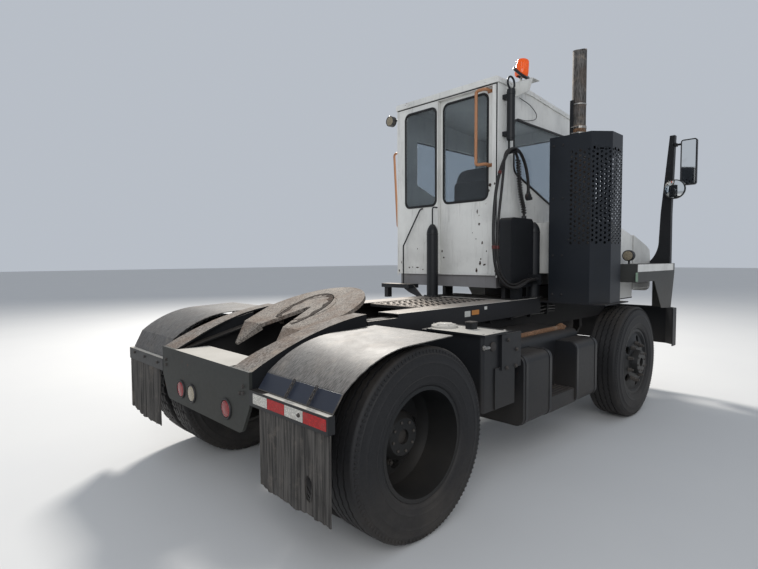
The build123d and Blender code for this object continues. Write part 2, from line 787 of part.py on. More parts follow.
windscreen_size = (cab_w - 2 * wall_t - 120, 900)
windscreen_at = (cab_mid_y, roof_front_z - 570)
with BuildPart() as cab_front_wall:
    with BuildSketch(Plane.YZ.offset(ahead(cab_front - wall_t))):
        with Locations((cab_mid_y, (cab_floor + roof_front_z) / 2)):
            Rectangle(cab_w - 2 * wall_t, roof_front_z - cab_floor)
        with Locations(windscreen_at):
            RectangleRounded(*windscreen_size, 60, mode=Mode.SUBTRACT)
    extrude(amount=wall_t)
cab_front_wall.part.label = "cab_front_wall"
export_step(cab_front_wall.part, "parts/cab_front_wall.step")

with BuildPart() as cab_roof:
    with BuildSketch(side_face(cab_left + roof_lip)):
        with BuildLine():
            Polyline(
                (ahead(cab_rear - roof_lip), roof_z), (ahead(roof_bend_x), roof_z),
                (ahead(cab_front + roof_lip), roof_front_z - roof_lip * roof_slope),
                (ahead(cab_front + roof_lip), roof_front_z + roof_t),
                (ahead(roof_bend_x), roof_z + roof_t), (ahead(cab_rear - roof_lip), roof_z + roof_t),
                close=True,
            )
        make_face()
    extrude(amount=cab_w + 2 * roof_lip)
    fillet(cab_roof.faces().group_by(Axis.Z)[-1].edges().filter_by(Axis.X), radius=25)
cab_roof.part.label = "cab_roof"
export_step(cab_roof.part, "parts/cab_roof.step")

with BuildPart() as cab_glass:
    with BuildSketch(Plane.YZ.offset(ahead(cab_rear + 14))):
        with Locations(window_at):
            RectangleRounded(window_size[0] - 2 * seat_gap, window_size[1] - 2 * seat_gap, window_r - seat_gap)
    extrude(amount=glass_t)
    with BuildSketch(Plane.YZ.offset(ahead(cab_front - 20))):
        with Locations(windscreen_at):
            RectangleRounded(windscreen_size[0] - 2 * seat_gap, windscreen_size[1] - 2 * seat_gap, 60 - seat_gap)
    extrude(amount=glass_t)
    for y in (cab_left - 14, cab_right + 14 + glass_t):
        with BuildSketch(side_face(y)):
            with BuildLine():
                Polyline(*side_window, close=True)
            make_face()
            offset(amount=-seat_gap, kind=Kind.INTERSECTION)
        extrude(amount=glass_t)
cab_glass.part.label = "cab_glass"
export_step(cab_glass.part, "parts/cab_glass.step")

# Sliding door inside the rear wall
door_x = cab_rear + wall_t + door_gap
door_bottom = cab_floor + 6
door_top = roof_z - 8
door_mid_y = (door_right + door_left) / 2
glass_top = door_top - 46
glass_low = cab_floor + 703
door_glass_at = (door_mid_y + 19.5, (glass_top + glass_low) / 2)
door_glass_w = door_left - door_right - 141
door_glass_r = 60
with BuildPart() as cab_door:
    with BuildSketch(Plane.YZ.offset(ahead(door_x))):
        with Locations((door_mid_y, (door_bottom + door_top) / 2)):
            Rectangle(door_left - door_right, door_top - door_bottom)
        with Locations(door_glass_at):
            RectangleRounded(door_glass_w, glass_top - glass_low, door_glass_r, mode=Mode.SUBTRACT)
    extrude(amount=door_t)
    # Shoes that slide on the floor
    for y in (door_right + 60, door_left - 60):
        with Locations((ahead(door_x + door_t / 2), y, (cab_floor + seat_gap + door_bottom) / 2)):
            Box(door_t, 60, door_bottom - cab_floor - seat_gap)
cab_door.part.label = "cab_door"
export_step(cab_door.part, "parts/cab_door.step")

with BuildPart() as door_glass:
    with BuildSketch(Plane.YZ.offset(ahead(door_x + 8))):
        with Locations(door_glass_at):
            RectangleRounded(door_glass_w - 2 * seat_gap, glass_top - glass_low - 2 * seat_gap,
                             door_glass_r - seat_gap)
    extrude(amount=glass_t)
door_glass.part.label = "door_glass"
export_step(door_glass.part, "parts/door_glass.step")

handle_x = cab_rear - 45
handle_foot_y = door_right + 60
handle_y = handle_foot_y + 97
handle_high = door_top - 37
handle_low = handle_high - 585
with BuildPart() as door_handle:
    with BuildLine() as door_handle_path:
        FilletPolyline(
            (ahead(door_x), handle_foot_y, handle_high), (ahead(handle_x), handle_foot_y, handle_high),
            (ahead(handle_x), handle_y, handle_high), (ahead(handle_x), handle_y, handle_low),
            (ahead(handle_x), handle_foot_y, handle_low), (ahead(door_x), handle_foot_y, handle_low),
            radius=24,
        )
    with BuildSketch(Plane(origin=(ahead(door_x), handle_foot_y, handle_high), z_dir=(-1, 0, 0))):
        Circle(11)
    sweep()
door_handle.part.label = "door_handle"
export_step(door_handle.part, "parts/door_handle.step")

grab_x = cab_rear + 60
grab_top_z = roof_z - 422
grab_low_z = grab_top_z - 800
with BuildPart() as grab_handle:
    with BuildLine():
        FilletPolyline(
            (ahead(grab_x), cab_left, grab_top_z), (ahead(grab_x), cab_left + 110, grab_top_z),
            (ahead(grab_x), cab_left + 60, grab_low_z), (ahead(grab_x), cab_left, grab_low_z),
            radius=30,
        )
    with BuildSketch(Plane(origin=(ahead(grab_x), cab_left, grab_top_z), z_dir=(0, 1, 0))):
        Circle(12)
    sweep()
grab_handle.part.label = "grab_handle"
export_step(grab_handle.part, "parts/grab_handle.step")

# Driver's place
seat_x = cab_rear + 400
seat_y = 300
with BuildPart() as seat:
    with BuildSketch(Plane.XY.offset(cab_floor)):
        with Locations((ahead(seat_x + 360), seat_y)):
            RectangleRounded(360, 360, 40)
    extrude(amount=300)
    with BuildSketch(side_face(seat_y + 240)) as seat_side:
        with BuildLine():
            Polyline(
                (ahead(seat_x + 80), cab_floor + 300), (ahead(seat_x + 620), cab_floor + 300),
                (ahead(seat_x + 640), cab_floor + 420), (ahead(seat_x + 240), cab_floor + 420),
                (ahead(seat_x + 120), cab_floor + 1120), (ahead(seat_x), cab_floor + 1120), close=True,
            )
        make_face()
        fillet(seat_side.vertices(), radius=30)
    extrude(amount=480)
seat.part.label = "seat"
export_step(seat.part, "parts/seat.step")

column_r = 24
wheel_plane = Plane(
    origin=(ahead(cab_front - 460), seat_y, cab_floor + 630), x_dir=(0, 1, 0), z_dir=(-0.6, 0, 0.8)
)
dash_front = cab_front - wall_t
with BuildPart() as dash:
    with BuildSketch(side_face(cab_left - wall_t)) as dash_side:
        with BuildLine():
            Polyline(
                (ahead(dash_front - 270), cab_floor + 260), (ahead(dash_front - 310), cab_floor + 480),
                (ahead(dash_front - 160), cab_floor + 560), (ahead(dash_front), cab_floor + 560),
                (ahead(dash_front), cab_floor), (ahead(dash_front - 80), cab_floor), close=True,
            )
        make_face()
        fillet(dash_side.vertices().group_by(Axis.X)[0], radius=30)
    extrude(amount=cab_w - 2 * wall_t)
    with BuildSketch(wheel_plane.offset(-10)):
        Circle(column_r)
    extrude(amount=-240)
dash.part.label = "dash"
export_step(dash.part, "parts/dash.step")

wheel_ring_r = 210
wheel_grip_r = 14
with BuildPart() as steering_wheel:
    with BuildSketch(Plane(origin=wheel_plane.origin + Vector(0, wheel_ring_r, 0),
                           z_dir=wheel_plane.z_dir.cross(Vector(0, 1, 0)))):
        Circle(wheel_grip_r)
    revolve(axis=Axis(wheel_plane.origin, wheel_plane.z_dir))
    with BuildSketch(wheel_plane.offset(-10)):
        Circle(column_r + 6)
        Rectangle(2 * wheel_ring_r - 10, 24)
    extrude(amount=16)
steering_wheel.part.label = "steering_wheel"
export_step(steering_wheel.part, "parts/steering_wheel.step")

# Beacon knocked askew on its bracket at the roof's right edge
beacon_x = cab_rear + 330
beacon_y = cab_right - 45
beacon_z = roof_z + 138
beacon_lean = 38
roof_top = roof_z + roof_t
with BuildPart() as beacon:
    # Bracket plate on the cab's side, with a gusset and a top
    with BuildSketch(Plane.YZ.offset(ahead(beacon_x - 60))):
        with BuildLine():
            Polyline(
                (cab_right - roof_lip - seat_gap, roof_top - 130), (cab_right - roof_lip - seat_gap, roof_top),
                (cab_right - 190, roof_top), (cab_right - 150, roof_top - 110), close=True,
            )
        make_face()
    extrude(amount=6)
    with Locations((ahead(beacon_x), (cab_right - 190 + cab_right - roof_lip - seat_gap) / 2, roof_top - 3)):
        Box(120, 190 - roof_lip - seat_gap, 6)
    with BuildSketch(Plane.XY.offset(roof_top)):
        with Locations((ahead(beacon_x), beacon_y)):
            Circle(14)
    extrude(amount=beacon_z - roof_top)
    lean = Plane(origin=(ahead(beacon_x), beacon_y, beacon_z)).rotated((beacon_lean, 0, 0))
    with BuildSketch(lean):
        Circle(76)
    extrude(amount=20)
    with BuildSketch(lean.offset(20)):
        Circle(60)
    lens = extrude(amount=105, taper=6)
    fillet(beacon.faces().sort_by(Axis(lean.origin, lean.z_dir))[-1].edges(), radius=24)
beacon.part.label = "beacon"
export_step(beacon.part, "parts/beacon.step")

lamp_body = 50
with BuildPart() as work_lamps:
    with BuildSketch(Plane.YZ.offset(ahead(cab_rear + 20))):
        with Locations((cab_left + 135, roof_z - 72)):
            Circle(55)
    extrude(amount=lamp_body)
    with BuildSketch(side_face(cab_left)):
        with Locations((ahead(cab_rear + 60), roof_z - 72)):
            Circle(9)
    extrude(amount=-150)
    with BuildSketch(Plane.YZ.offset(ahead(fender_rear + 160))):
        with Locations((-fender_outer + 136, fender_top_z + 82)):
            Circle(52)
    extrude(amount=lamp_body)
    with BuildSketch(Plane.XY.offset(fender_top_z)):
        with Locations((ahead(fender_rear + 190), -fender_outer + 136)):
            Circle(9)
    extrude(amount=60)
work_lamps.part.label = "work_lamps"
export_step(work_lamps.part, "parts/work_lamps.step")

# Domed posts on the deck behind and beside the cab
post_r = 56
side_post_r = 60
post_high = 1795
box_x = cab_rear + 195
box_y = cab_right - 82
dome_h = 95
mast_x = cab_rear + 100
mast_y = cab_right - 70
mast_r = 36
mast_low = 2516
mast_high = 2963
mast_eye_r = 55
hose_r = 14
supply_r = 12
hook_in = mast_y + 14
hook_out = hook_in - 88
peg_r = 12
hose_top = 2432
supply_top = hose_top - hose_r + supply_r
peg_z = hose_top - hose_r - peg_r - seat_gap
stay_x = cab_rear - 32
stay_r = 7
stay_top = 1966
with BuildPart() as deck_posts:
    for x, y, r in ((cab_rear - 72, door_left - 3, post_r), (box_x + 260, box_y - 25, side_post_r)):
        with BuildSketch(side_face(y)):
            with BuildLine():
                wall = Polyline((ahead(x), deck_z), (ahead(x + r), deck_z), (ahead(x + r), post_high - dome_h))
                dome = ThreePointArc(
                    wall @ 1, (ahead(x + 0.8 * r), post_high - 0.42 * dome_h), (ahead(x + 0.32 * r), post_high),
                )
                Polyline(dome @ 1, (ahead(x), post_high), wall @ 0)
            make_face()
        revolve(axis=Axis((ahead(x), y, 0), (0, 0, 1)))
    # Hose mast on the cab's right side, with an eye on top
    with BuildSketch(Plane.XY.offset(mast_low)):
        with Locations((ahead(mast_x), mast_y)):
            Circle(mast_r)
    extrude(amount=mast_high - mast_low)
    with BuildSketch(Plane.XY.offset(mast_high + mast_eye_r)):
        with Locations((ahead(mast_x) + mast_eye_r, mast_y)):
            Circle(9)
    revolve(axis=Axis((ahead(mast_x), mast_y, mast_high + mast_eye_r), (0, 1, 0)))
    for z in (mast_low + 60, mast_high - 60):
        with Locations((ahead(mast_x), (cab_right + mast_y) / 2, z)):
            Box(60, cab_right - mast_y, 40)
    # Strap and peg that carry the hoses
    with Locations((ahead(mast_x), hook_in + 3, (mast_low + peg_z - peg_r) / 2)):
        Box(26, 6, mast_low - peg_z + peg_r)
    with BuildSketch(side_face(hook_in)):
        with Locations((ahead(mast_x), peg_z)):
            Circle(peg_r)
    extrude(amount=hook_in - hook_out)
    with BuildSketch(side_face(hook_out)):
        with Locations((ahead(mast_x), peg_z)):
            Circle(peg_r + 8)
    extrude(amount=5)
    # Bent rods from the step and the rear post to the wall below the window
    with BuildLine():
        FilletPolyline(
            (ahead(stay_x), 806, step_top), (ahead(stay_x), 806, 1592), (ahead(stay_x), 566, stay_top),
            (ahead(cab_rear), 566, stay_top), radius=28,
        )
    with BuildSketch(Plane.XY.offset(step_top)):
        with Locations((ahead(stay_x), 806)):
            Circle(stay_r)
    sweep()
    with BuildLine():
        FilletPolyline(
            (ahead(cab_rear - 72), door_left - 3, post_high - 4), (ahead(cab_rear - 72), door_left - 3, stay_top),
            (ahead(cab_rear), door_left - 3, stay_top), radius=28,
        )
    with BuildSketch(Plane.XY.offset(post_high - 4)):
        with Locations((ahead(cab_rear - 72), door_left - 3)):
            Circle(stay_r)
    sweep()
deck_posts.part.label = "deck_posts"
export_step(deck_posts.part, "parts/deck_posts.step")

fitting_x = box_x + 105
fitting_long = 50
fitting_z = 1262
hose_a_y = -556
hose_b_y = -508
gland_x = box_x + 130
gland_long = 30
gland_z = cab_floor + 520 + gland_long
glad_hand_x = 2338
glad_hand_y = -435
glad_hand_top = 2075
with BuildPart() as air_box:
    with BuildSketch(side_face(box_y + 60)):
        with Locations((ahead(box_x), cab_floor + 205)):
            RectangleRounded(390, 630, 45)
    extrude(amount=120)
    with Locations((ahead(box_x), box_y, (deck_z + cab_floor - 110) / 2)):
        Box(60, 90, cab_floor - 110 - deck_z)
    # Bulkhead with two hose fittings, and the gland on top
    with Locations((ahead(fitting_x), box_y - 60 - 66, fitting_z)):
        Box(8, 132, 90)
    with BuildSketch(Plane.YZ.offset(ahead(fitting_x))):
        with Locations((hose_a_y, fitting_z), (hose_b_y, fitting_z)):
            RegularPolygon(hose_r + 6, 6)
    extrude(amount=-fitting_long)
    with BuildSketch(Plane.XY.offset(gland_z)):
        with Locations((ahead(gland_x), mast_y - 10)):
            RegularPolygon(hose_r + 8, 6)
    extrude(amount=-gland_long - 2)
air_box.part.label = "air_box"
export_step(air_box.part, "parts/air_box.step")

# Two hoses hung over the peg: straight runs joined by tangent arcs
def route_radii(route):
    """Radius of the arc at each inner point of a route."""
    points = [Vector(*point) for point in route]
    radii = []
    for before, at, after in zip(points, points[1:], points[2:]):
        turn = math.radians((at - before).get_angle(after - at))
        shorter = min((at - before).length, (after - at).length)
        radii.append(0.45 * shorter / math.tan(turn / 2))
    return radii


air_route = [
    (ahead(fitting_x - fitting_long), hose_a_y, fitting_z),
    (ahead(fitting_x - fitting_long - 85), hose_a_y, fitting_z),
    (ahead(2072), -548, 1228), (ahead(1972), -526, 1192), (ahead(1875), -492, 1216),
    (ahead(1815), -458, 1292), (ahead(1786), -438, 1396), (ahead(1776), -429, 1540),
    (ahead(1777), -425, 1715), (ahead(1789), -424, 1890), (ahead(1818), -425, 2060),
    (ahead(1866), -428, 2205), (ahead(1938), -432, 2330), (ahead(2034), -434, hose_top),
    (ahead(2166), -436, hose_top), (ahead(2258), -437, 2346), (ahead(2312), -437, 2240),
    (ahead(glad_hand_x), glad_hand_y, 2140), (ahead(glad_hand_x), glad_hand_y, glad_hand_top),
]
supply_route = [
    (ahead(fitting_x - fitting_long), hose_b_y, fitting_z),
    (ahead(fitting_x - fitting_long - 82), hose_b_y, fitting_z),
    (ahead(2086), -504, 1236), (ahead(2002), -496, 1216), (ahead(1924), -470, 1242),
    (ahead(1878), -440, 1312), (ahead(1860), -420, 1415), (ahead(1860), -410, 1560),
    (ahead(1880), -403, 1735), (ahead(1914), -399, 1905), (ahead(1948), -398, 2070),
    (ahead(1972), -398, 2220), (ahead(1985), -398, 2342), (ahead(2013), -398, 2398),
    (ahead(2064), -399, supply_top), (ahead(2136), -400, supply_top), (ahead(2187), -401, 2397),
    (ahead(2214), -401, 2344), (ahead(2226), -401, 2240), (ahead(2244), -401, 2110),
    (ahead(2274), -401, 1995), (ahead(gland_x), mast_y - 10, 1910), (ahead(gland_x), mast_y - 10, gland_z),
]
print("hose radii", [round(r) for r in route_radii(air_route)], [round(r) for r in route_radii(supply_route)])

with BuildPart() as air_hose:
    with BuildLine():
        FilletPolyline(*air_route, radius=route_radii(air_route))
    with BuildSketch(Plane(origin=air_route[0], z_dir=Vector(*air_route[1]) - Vector(*air_route[0]))):
        Circle(hose_r)
    sweep()
air_hose.part.label = "air_hose"
export_step(air_hose.part, "parts/air_hose.step")

with BuildPart() as supply_hose:
    with BuildLine():
        FilletPolyline(*supply_route, radius=route_radii(supply_route))
    with BuildSketch(Plane(origin=supply_route[0], z_dir=Vector(*supply_route[1]) - Vector(*supply_route[0]))):
        Circle(supply_r)
    sweep()
supply_hose.part.label = "supply_hose"
export_step(supply_hose.part, "parts/supply_hose.step")

# Glad hand coupling on the hanging end
with BuildPart() as glad_hand:
    with BuildSketch(Plane.XY.offset(glad_hand_top)):
        with Locations((ahead(glad_hand_x), glad_hand_y)):
            Circle(hose_r + 3)
    extrude(amount=-30)
    with BuildSketch(side_face(glad_hand_y + 15)):
        with Locations((ahead(glad_hand_x), glad_hand_top - 50)):
            Circle(34)
        with Locations((ahead(glad_hand_x + 30), glad_hand_top - 62)):
            Rectangle(40, 26)
    extrude(amount=30)
glad_hand.part.label = "glad_hand"
export_step(glad_hand.part, "parts/glad_hand.step")

# Cover beside the engine, right of the cab
cover_x = guard_front + 60
shelf_x = cab_rear + 600
cover_z = 1800
cover_end_x = cab_front - 5
cover_drop = 120
cover_in_y = cab_right - 10
cover_out_y = -hood_y + 5
cover_t = 6
shelf_y = -560
with BuildPart() as side_cover:
    with BuildSketch(side_face(cover_in_y)):
        with BuildLine():
            Polyline(
                (ahead(cover_x), platform_z), (ahead(cover_x), cover_z),
                (ahead(cover_end_x), cover_z - cover_drop), (ahead(cover_end_x), platform_z), close=True,
            )
        make_face()
    extrude(amount=cover_in_y - cover_out_y)
    with BuildSketch(side_face(cover_in_y)):
        with BuildLine():
            Polyline(
                (ahead(shelf_x), cab_floor + 10), (ahead(shelf_x), cover_z),
                (ahead(cover_x), cover_z), (ahead(cover_x), cab_floor + 10), close=True,
            )
        make_face()
    extrude(amount=cover_in_y - shelf_y)
    with BuildSketch(side_face(cab_right)):
        with BuildLine():
            Polyline(
                (ahead(cover_x + cover_t), platform_z - 5), (ahead(cover_x + cover_t), cover_z - cover_t - 1),
                (ahead(cover_end_x), cover_z - cover_drop - cover_t - 1),
                (ahead(cover_end_x), platform_z - 5), close=True,
            )
        make_face()
    extrude(amount=cab_right - cover_out_y - cover_t, mode=Mode.SUBTRACT)
side_cover.part.label = "side_cover"
export_step(side_cover.part, "parts/side_cover.step")

# Guard of the exhaust, folded round it on three sides
guard_fold_x = 145
guard_fold_y = 125
guard_t = 4
with BuildPart() as muffler_guard:
    with BuildSketch(Plane.XY.offset(platform_z)):
        with BuildLine():
            Polyline(
                (ahead(guard_rear), guard_inner), (ahead(guard_rear), guard_outer + guard_fold_y),
                (ahead(guard_rear + guard_fold_x), guard_outer),
                (ahead(guard_front - guard_fold_x), guard_outer),
                (ahead(guard_front), guard_outer + guard_fold_y), (ahead(guard_front), guard_inner),
            )
            offset(amount=guard_t, side=Side.LEFT)
        make_face()
    extrude(amount=guard_top_z - platform_z)
muffler_guard.part.label = "muffler_guard"
export_step(muffler_guard.part, "parts/muffler_guard.step")

pipe_r = 62
pipe_t = 4
stack_top = 3400
muffler_low = platform_z + 200
muffler_high = guard_top_z - 160
with BuildPart() as exhaust:
    with BuildSketch(Plane.XZ):
        with BuildLine():
            Polyline(
                (ahead(muffler_x), platform_z), (ahead(muffler_x + pipe_r), platform_z),
                (ahead(muffler_x + pipe_r), muffler_low), (ahead(muffler_x + muffler_r - 30), muffler_low),
                (ahead(muffler_x + muffler_r), muffler_low + 30),
                (ahead(muffler_x + muffler_r), muffler_high - 30),
                (ahead(muffler_x + muffler_r - 30), muffler_high), (ahead(muffler_x + pipe_r), muffler_high),
                (ahead(muffler_x + pipe_r), stack_top), (ahead(muffler_x + pipe_r - pipe_t), stack_top),
                (ahead(muffler_x + pipe_r - pipe_t), guard_top_z), (ahead(muffler_x), guard_top_z),
                close=True,
            )
        make_face()
    revolve(axis=Axis((ahead(muffler_x), 0, 0), (0, 0, 1)))
    split(bisect_by=Plane(origin=(ahead(muffler_x), 0, stack_top - 30), z_dir=(-0.5, -0.2, 1)),
          keep=Keep.BOTTOM)
exhaust.part = exhaust.part.moved(Location((0, muffler_y, 0)))
exhaust.part.label = "exhaust"
export_step(exhaust.part, "parts/exhaust.step")

# Hydraulic tank beside the right rail
tank_rear = deck_rear + 110
tank_front = tank_rear + 370
tank_in = -rail_y - 168
tank_out = tank_in - 500
tank_low = 500
tank_high = 980
lid_t = 12
lid_back = 20
lid_len = 262
lid_out = tank_out - 30
cap_at = (ahead(tank_rear + 110), tank_in - 120)
with BuildPart() as hydraulic_tank:
    with BuildSketch(Plane.XY.offset(tank_low)) as tank_plan:
        with Locations((ahead((tank_rear + tank_front) / 2), (tank_in + tank_out) / 2)):
            RectangleRounded(tank_front - tank_rear, tank_in - tank_out, 25)
    extrude(amount=tank_high - tank_low)
    with Locations((ahead(tank_rear - lid_back + lid_len / 2), (tank_in - 70 + lid_out) / 2, tank_high + lid_t / 2)):
        Box(lid_len, tank_in - 70 - lid_out, lid_t)
    with Locations((ahead(tank_front - 80), (tank_in - rail_y) / 2, rail_top - 150)):
        Box(120, -tank_in - rail_y, 40)
    # Two bracket plates bolted to the outer wall, the upper one over the lower
    for plate_x, low, high, proud in ((tank_rear + 240, tank_low + 5, 765, 10),
                                      (tank_rear + 300, 745, tank_high - 5, 20)):
        with Locations((ahead(plate_x), tank_out - proud / 2, (low + high) / 2)):
            Box(230, proud, high - low)
    with BuildSketch(Plane.XY.offset(tank_high + lid_t)):
        with Locations(cap_at):
            Circle(88)
    extrude(amount=14)
    with BuildSketch(Plane.XY.offset(tank_high + lid_t)):
        with Locations((ahead(tank_rear + 165), tank_in - 300)):
            RectangleRounded(60, 60, 8)
    extrude(amount=46)
hydraulic_tank.part.label = "hydraulic_tank"
export_step(hydraulic_tank.part, "parts/hydraulic_tank.step")

# Side tank with a step between two rounded boxes
side_rear = tank_front + 65
side_front = front_axle_x - tyre_r - 192
side_in = -rail_y - 20
side_low = 340
side_high = 860
box_out = -1130
rear_box = 400
front_box = 395
with BuildPart() as side_tank:
    with BuildSketch(Plane.YZ.offset(ahead(side_rear))) as tank_end:
        with Locations(((side_in - 960) / 2, (side_low + side_high) / 2)):
            Rectangle(side_in + 960, side_high - side_low)
        fillet(tank_end.vertices(), radius=60)
    extrude(amount=side_front - side_rear)
    for x, length in ((side_rear, rear_box), (side_front - front_box, front_box)):
        with BuildSketch(Plane.YZ.offset(ahead(x))) as box_end:
            with Locations((box_out + 230, side_low + 220)):
                Rectangle(460, 480)
            fillet(box_end.vertices(), radius=60)
        extrude(amount=length)
    # Step between the boxes
    with Locations((ahead((side_rear + rear_box + side_front - front_box) / 2), box_out + 100, side_low + 50)):
        Box(side_front - front_box - side_rear - rear_box + 20, 180, 110)
    # Brackets from the tank to the rail
    for x in (side_rear + 220, side_front - 250):
        with Locations((ahead(x), -rail_y - 19, side_high - 40)):
            Box(80, 38, 60)
side_tank.part.label = "side_tank"
export_step(side_tank.part, "parts/side_tank.step")

# Hood, tilting forward about a bar at the nose
hood_t = 6
with BuildPart() as hood:
    with BuildSketch(side_face(hood_y)) as hood_side:
        with BuildLine():
            crown = Polyline(
                (ahead(hood_rear), hood_bottom), (ahead(hood_rear), hood_rear_z),
                (ahead(hood_front - 145), hood_rear_z - 100), (ahead(hood_front - 30), hood_front_z + 100),
                (ahead(hood_front), hood_front_z), (ahead(hood_front), hood_bottom), close=True,
            )
        make_face()
    extrude(amount=2 * hood_y)
    fillet(hood.edges().filter_by(Axis.X).group_by(Axis.Z)[-1], radius=60)
    with BuildSketch(side_face(hood_y - hood_t)):
        with BuildLine():
            Polyline(
                (ahead(hood_rear), hood_bottom), (ahead(hood_rear), hood_rear_z - 8),
                (ahead(hood_front - 147), hood_rear_z - 107), (ahead(hood_front - 37), hood_front_z + 95),
                (ahead(hood_front - hood_t), hood_front_z - 2), (ahead(hood_front - hood_t), hood_bottom),
                close=True,
            )
        make_face()
    extrude(amount=2 * (hood_y - hood_t), mode=Mode.SUBTRACT)
    # Grille and its bars
    with Locations((ahead(hood_front), 0, hood_bottom + 180)):
        Box(40, 760, 260, mode=Mode.SUBTRACT)
        with GridLocations(1, 80, 1, 9):
            Box(2 * hood_t, 10, 262)
    for side in (1, -1):
        with BuildSketch(side_face(side * 300 + 10)):
            with Locations((ahead(hinge_x), hinge_z)):
                Circle(22)
            with Locations((ahead((hinge_x + hood_front - 3) / 2 + 4), hinge_z)):
                Rectangle(hood_front - 3 - hinge_x, 30)
            with Locations((ahead(hinge_x), hinge_z)):
                Circle(hinge_r + pin_gap, mode=Mode.SUBTRACT)
        extrude(amount=20)
hood.part.label = "hood"
export_step(hood.part, "parts/hood.step")

# Lift boom
with BuildPart() as lift_boom:
    for side in (1, -1):
        with BuildSketch(side_face(side * boom_arm_y + boom_arm_w / 2)) as boom_side:
            with BuildLine():
                Polyline(
                    (ahead(boom_pin_x + 50), boom_pin_z - 55), (ahead(boom_pin_x + 50), boom_pin_z + 50),
                    (ahead(rod_pin_x + 130), rod_pin_z + 60), (ahead(pitch_x + 60), pitch_z + 25),
                    (ahead(pitch_x - 60), pitch_z + 25), (ahead(pitch_x - 70), pitch_z - 95),
                    (ahead(rod_pin_x - 50), rod_pin_z - 55), close=True,
                )
            make_face()
            fillet(boom_side.vertices(), radius=20)
        extrude(amount=boom_arm_w)
    with BuildSketch(side_face(boom_arm_y)):
        with Locations((ahead(rod_pin_x), rod_pin_z)):
            Circle(eye_pin_r)
    extrude(amount=2 * boom_arm_y)
    for x, z, r in ((boom_pin_x, boom_pin_z, boom_pin_r + 18), (boom_pin_x - 510, boom_pin_z + 3, 40)):
        with BuildSketch(side_face(boom_arm_y)):
            with Locations((ahead(x), z)):
                Circle(r)
        extrude(amount=2 * boom_arm_y)
    with BuildSketch(side_face(325)):
        with Locations((ahead(pitch_x), pitch_z)):
            Circle(pitch_pin_r)
    extrude(amount=650)
    with BuildSketch(side_face(300)):
        with Locations((ahead(boom_pin_x), boom_pin_z)):
            Circle(boom_pin_r + pin_gap)
    extrude(amount=600, mode=Mode.SUBTRACT)
lift_boom.part.label = "lift_boom"
export_step(lift_boom.part, "parts/lift_boom.step")

# Fifth-wheel plate, level in its own plane and tipped to the rear
tip = math.radians(tilt)
plate_x_dir = (math.cos(tip), 0, math.sin(tip))
plate_plane = Plane(
    origin=(ahead(pitch_x), 0, pitch_z), x_dir=plate_x_dir, z_dir=(-math.sin(tip), 0, math.cos(tip))
)
plate_side = Plane(origin=(ahead(pitch_x), 0, pitch_z), x_dir=plate_x_dir, z_dir=(0, -1, 0))
nose_x = -70
throat_x = -25
throat_half = 128
plate_rear = -326
corner_y = 350
with BuildPart() as fifth_wheel:
    with BuildSketch(plate_plane.offset(plate_top - plate_t)) as plate_face:
        with BuildLine():
            EllipticalCenterArc((nose_x, 0), plate_r, plate_half_w, -90, arc_size=180)
            Polyline((nose_x, plate_half_w), (plate_rear, corner_y), (plate_rear, -corner_y),
                     (nose_x, -plate_half_w))
        make_face()
        with BuildLine():
            Polyline((throat_x, king_pin_r), (plate_rear, throat_half), (plate_rear, -throat_half),
                     (throat_x, -king_pin_r), close=True)
        make_face(mode=Mode.SUBTRACT)
        with Locations((throat_x, 0)):
            Circle(king_pin_r, mode=Mode.SUBTRACT)
    extrude(amount=plate_t)
    # Worn groove round the jaw
    with BuildSketch(plate_plane.offset(plate_top)):
        with Locations((throat_x, 0)):
            Circle(218)
            Circle(204, mode=Mode.SUBTRACT)
    extrude(amount=-4, mode=Mode.SUBTRACT)
fifth_wheel.part.label = "fifth_wheel"
export_step(fifth_wheel.part, "parts/fifth_wheel.step")

# Tails behind the plate and its pivot brackets
tail_length = 164
bracket_y = 305
with BuildPart() as fifth_wheel_tails:
    for side in (1, -1):
        with BuildSketch(Plane(origin=plate_plane.from_local_coords(Vector(plate_rear, 0, 0)),
                               x_dir=(0, 1, 0), z_dir=plate_plane.x_dir)):
            with Locations((side * (corner_y + throat_half - 2) / 2, plate_top - 22)):
                Rectangle(corner_y - throat_half - 7, 44)
        with BuildSketch(Plane(origin=plate_plane.from_local_coords(Vector(plate_rear - tail_length, 0, 0)),
                               x_dir=(0, 1, 0), z_dir=plate_plane.x_dir)):
            with Locations((side * 225, 12)):
                Rectangle(30, 14)
        loft(ruled=True)
        with BuildSketch(plate_side.offset(-side * bracket_y - 14)) as bracket_face:
            with Locations((0, (plate_top - plate_t - 32) / 2)):
                Rectangle(180, plate_top - plate_t + 32)
            fillet(bracket_face.vertices().group_by(Axis.Z)[0], radius=30)
            with Locations((0, 0)):
                Circle(pitch_pin_r + pin_gap, mode=Mode.SUBTRACT)
        extrude(amount=28)
fifth_wheel_tails.part.label = "fifth_wheel_tails"
export_step(fifth_wheel_tails.part, "parts/fifth_wheel_tails.step")

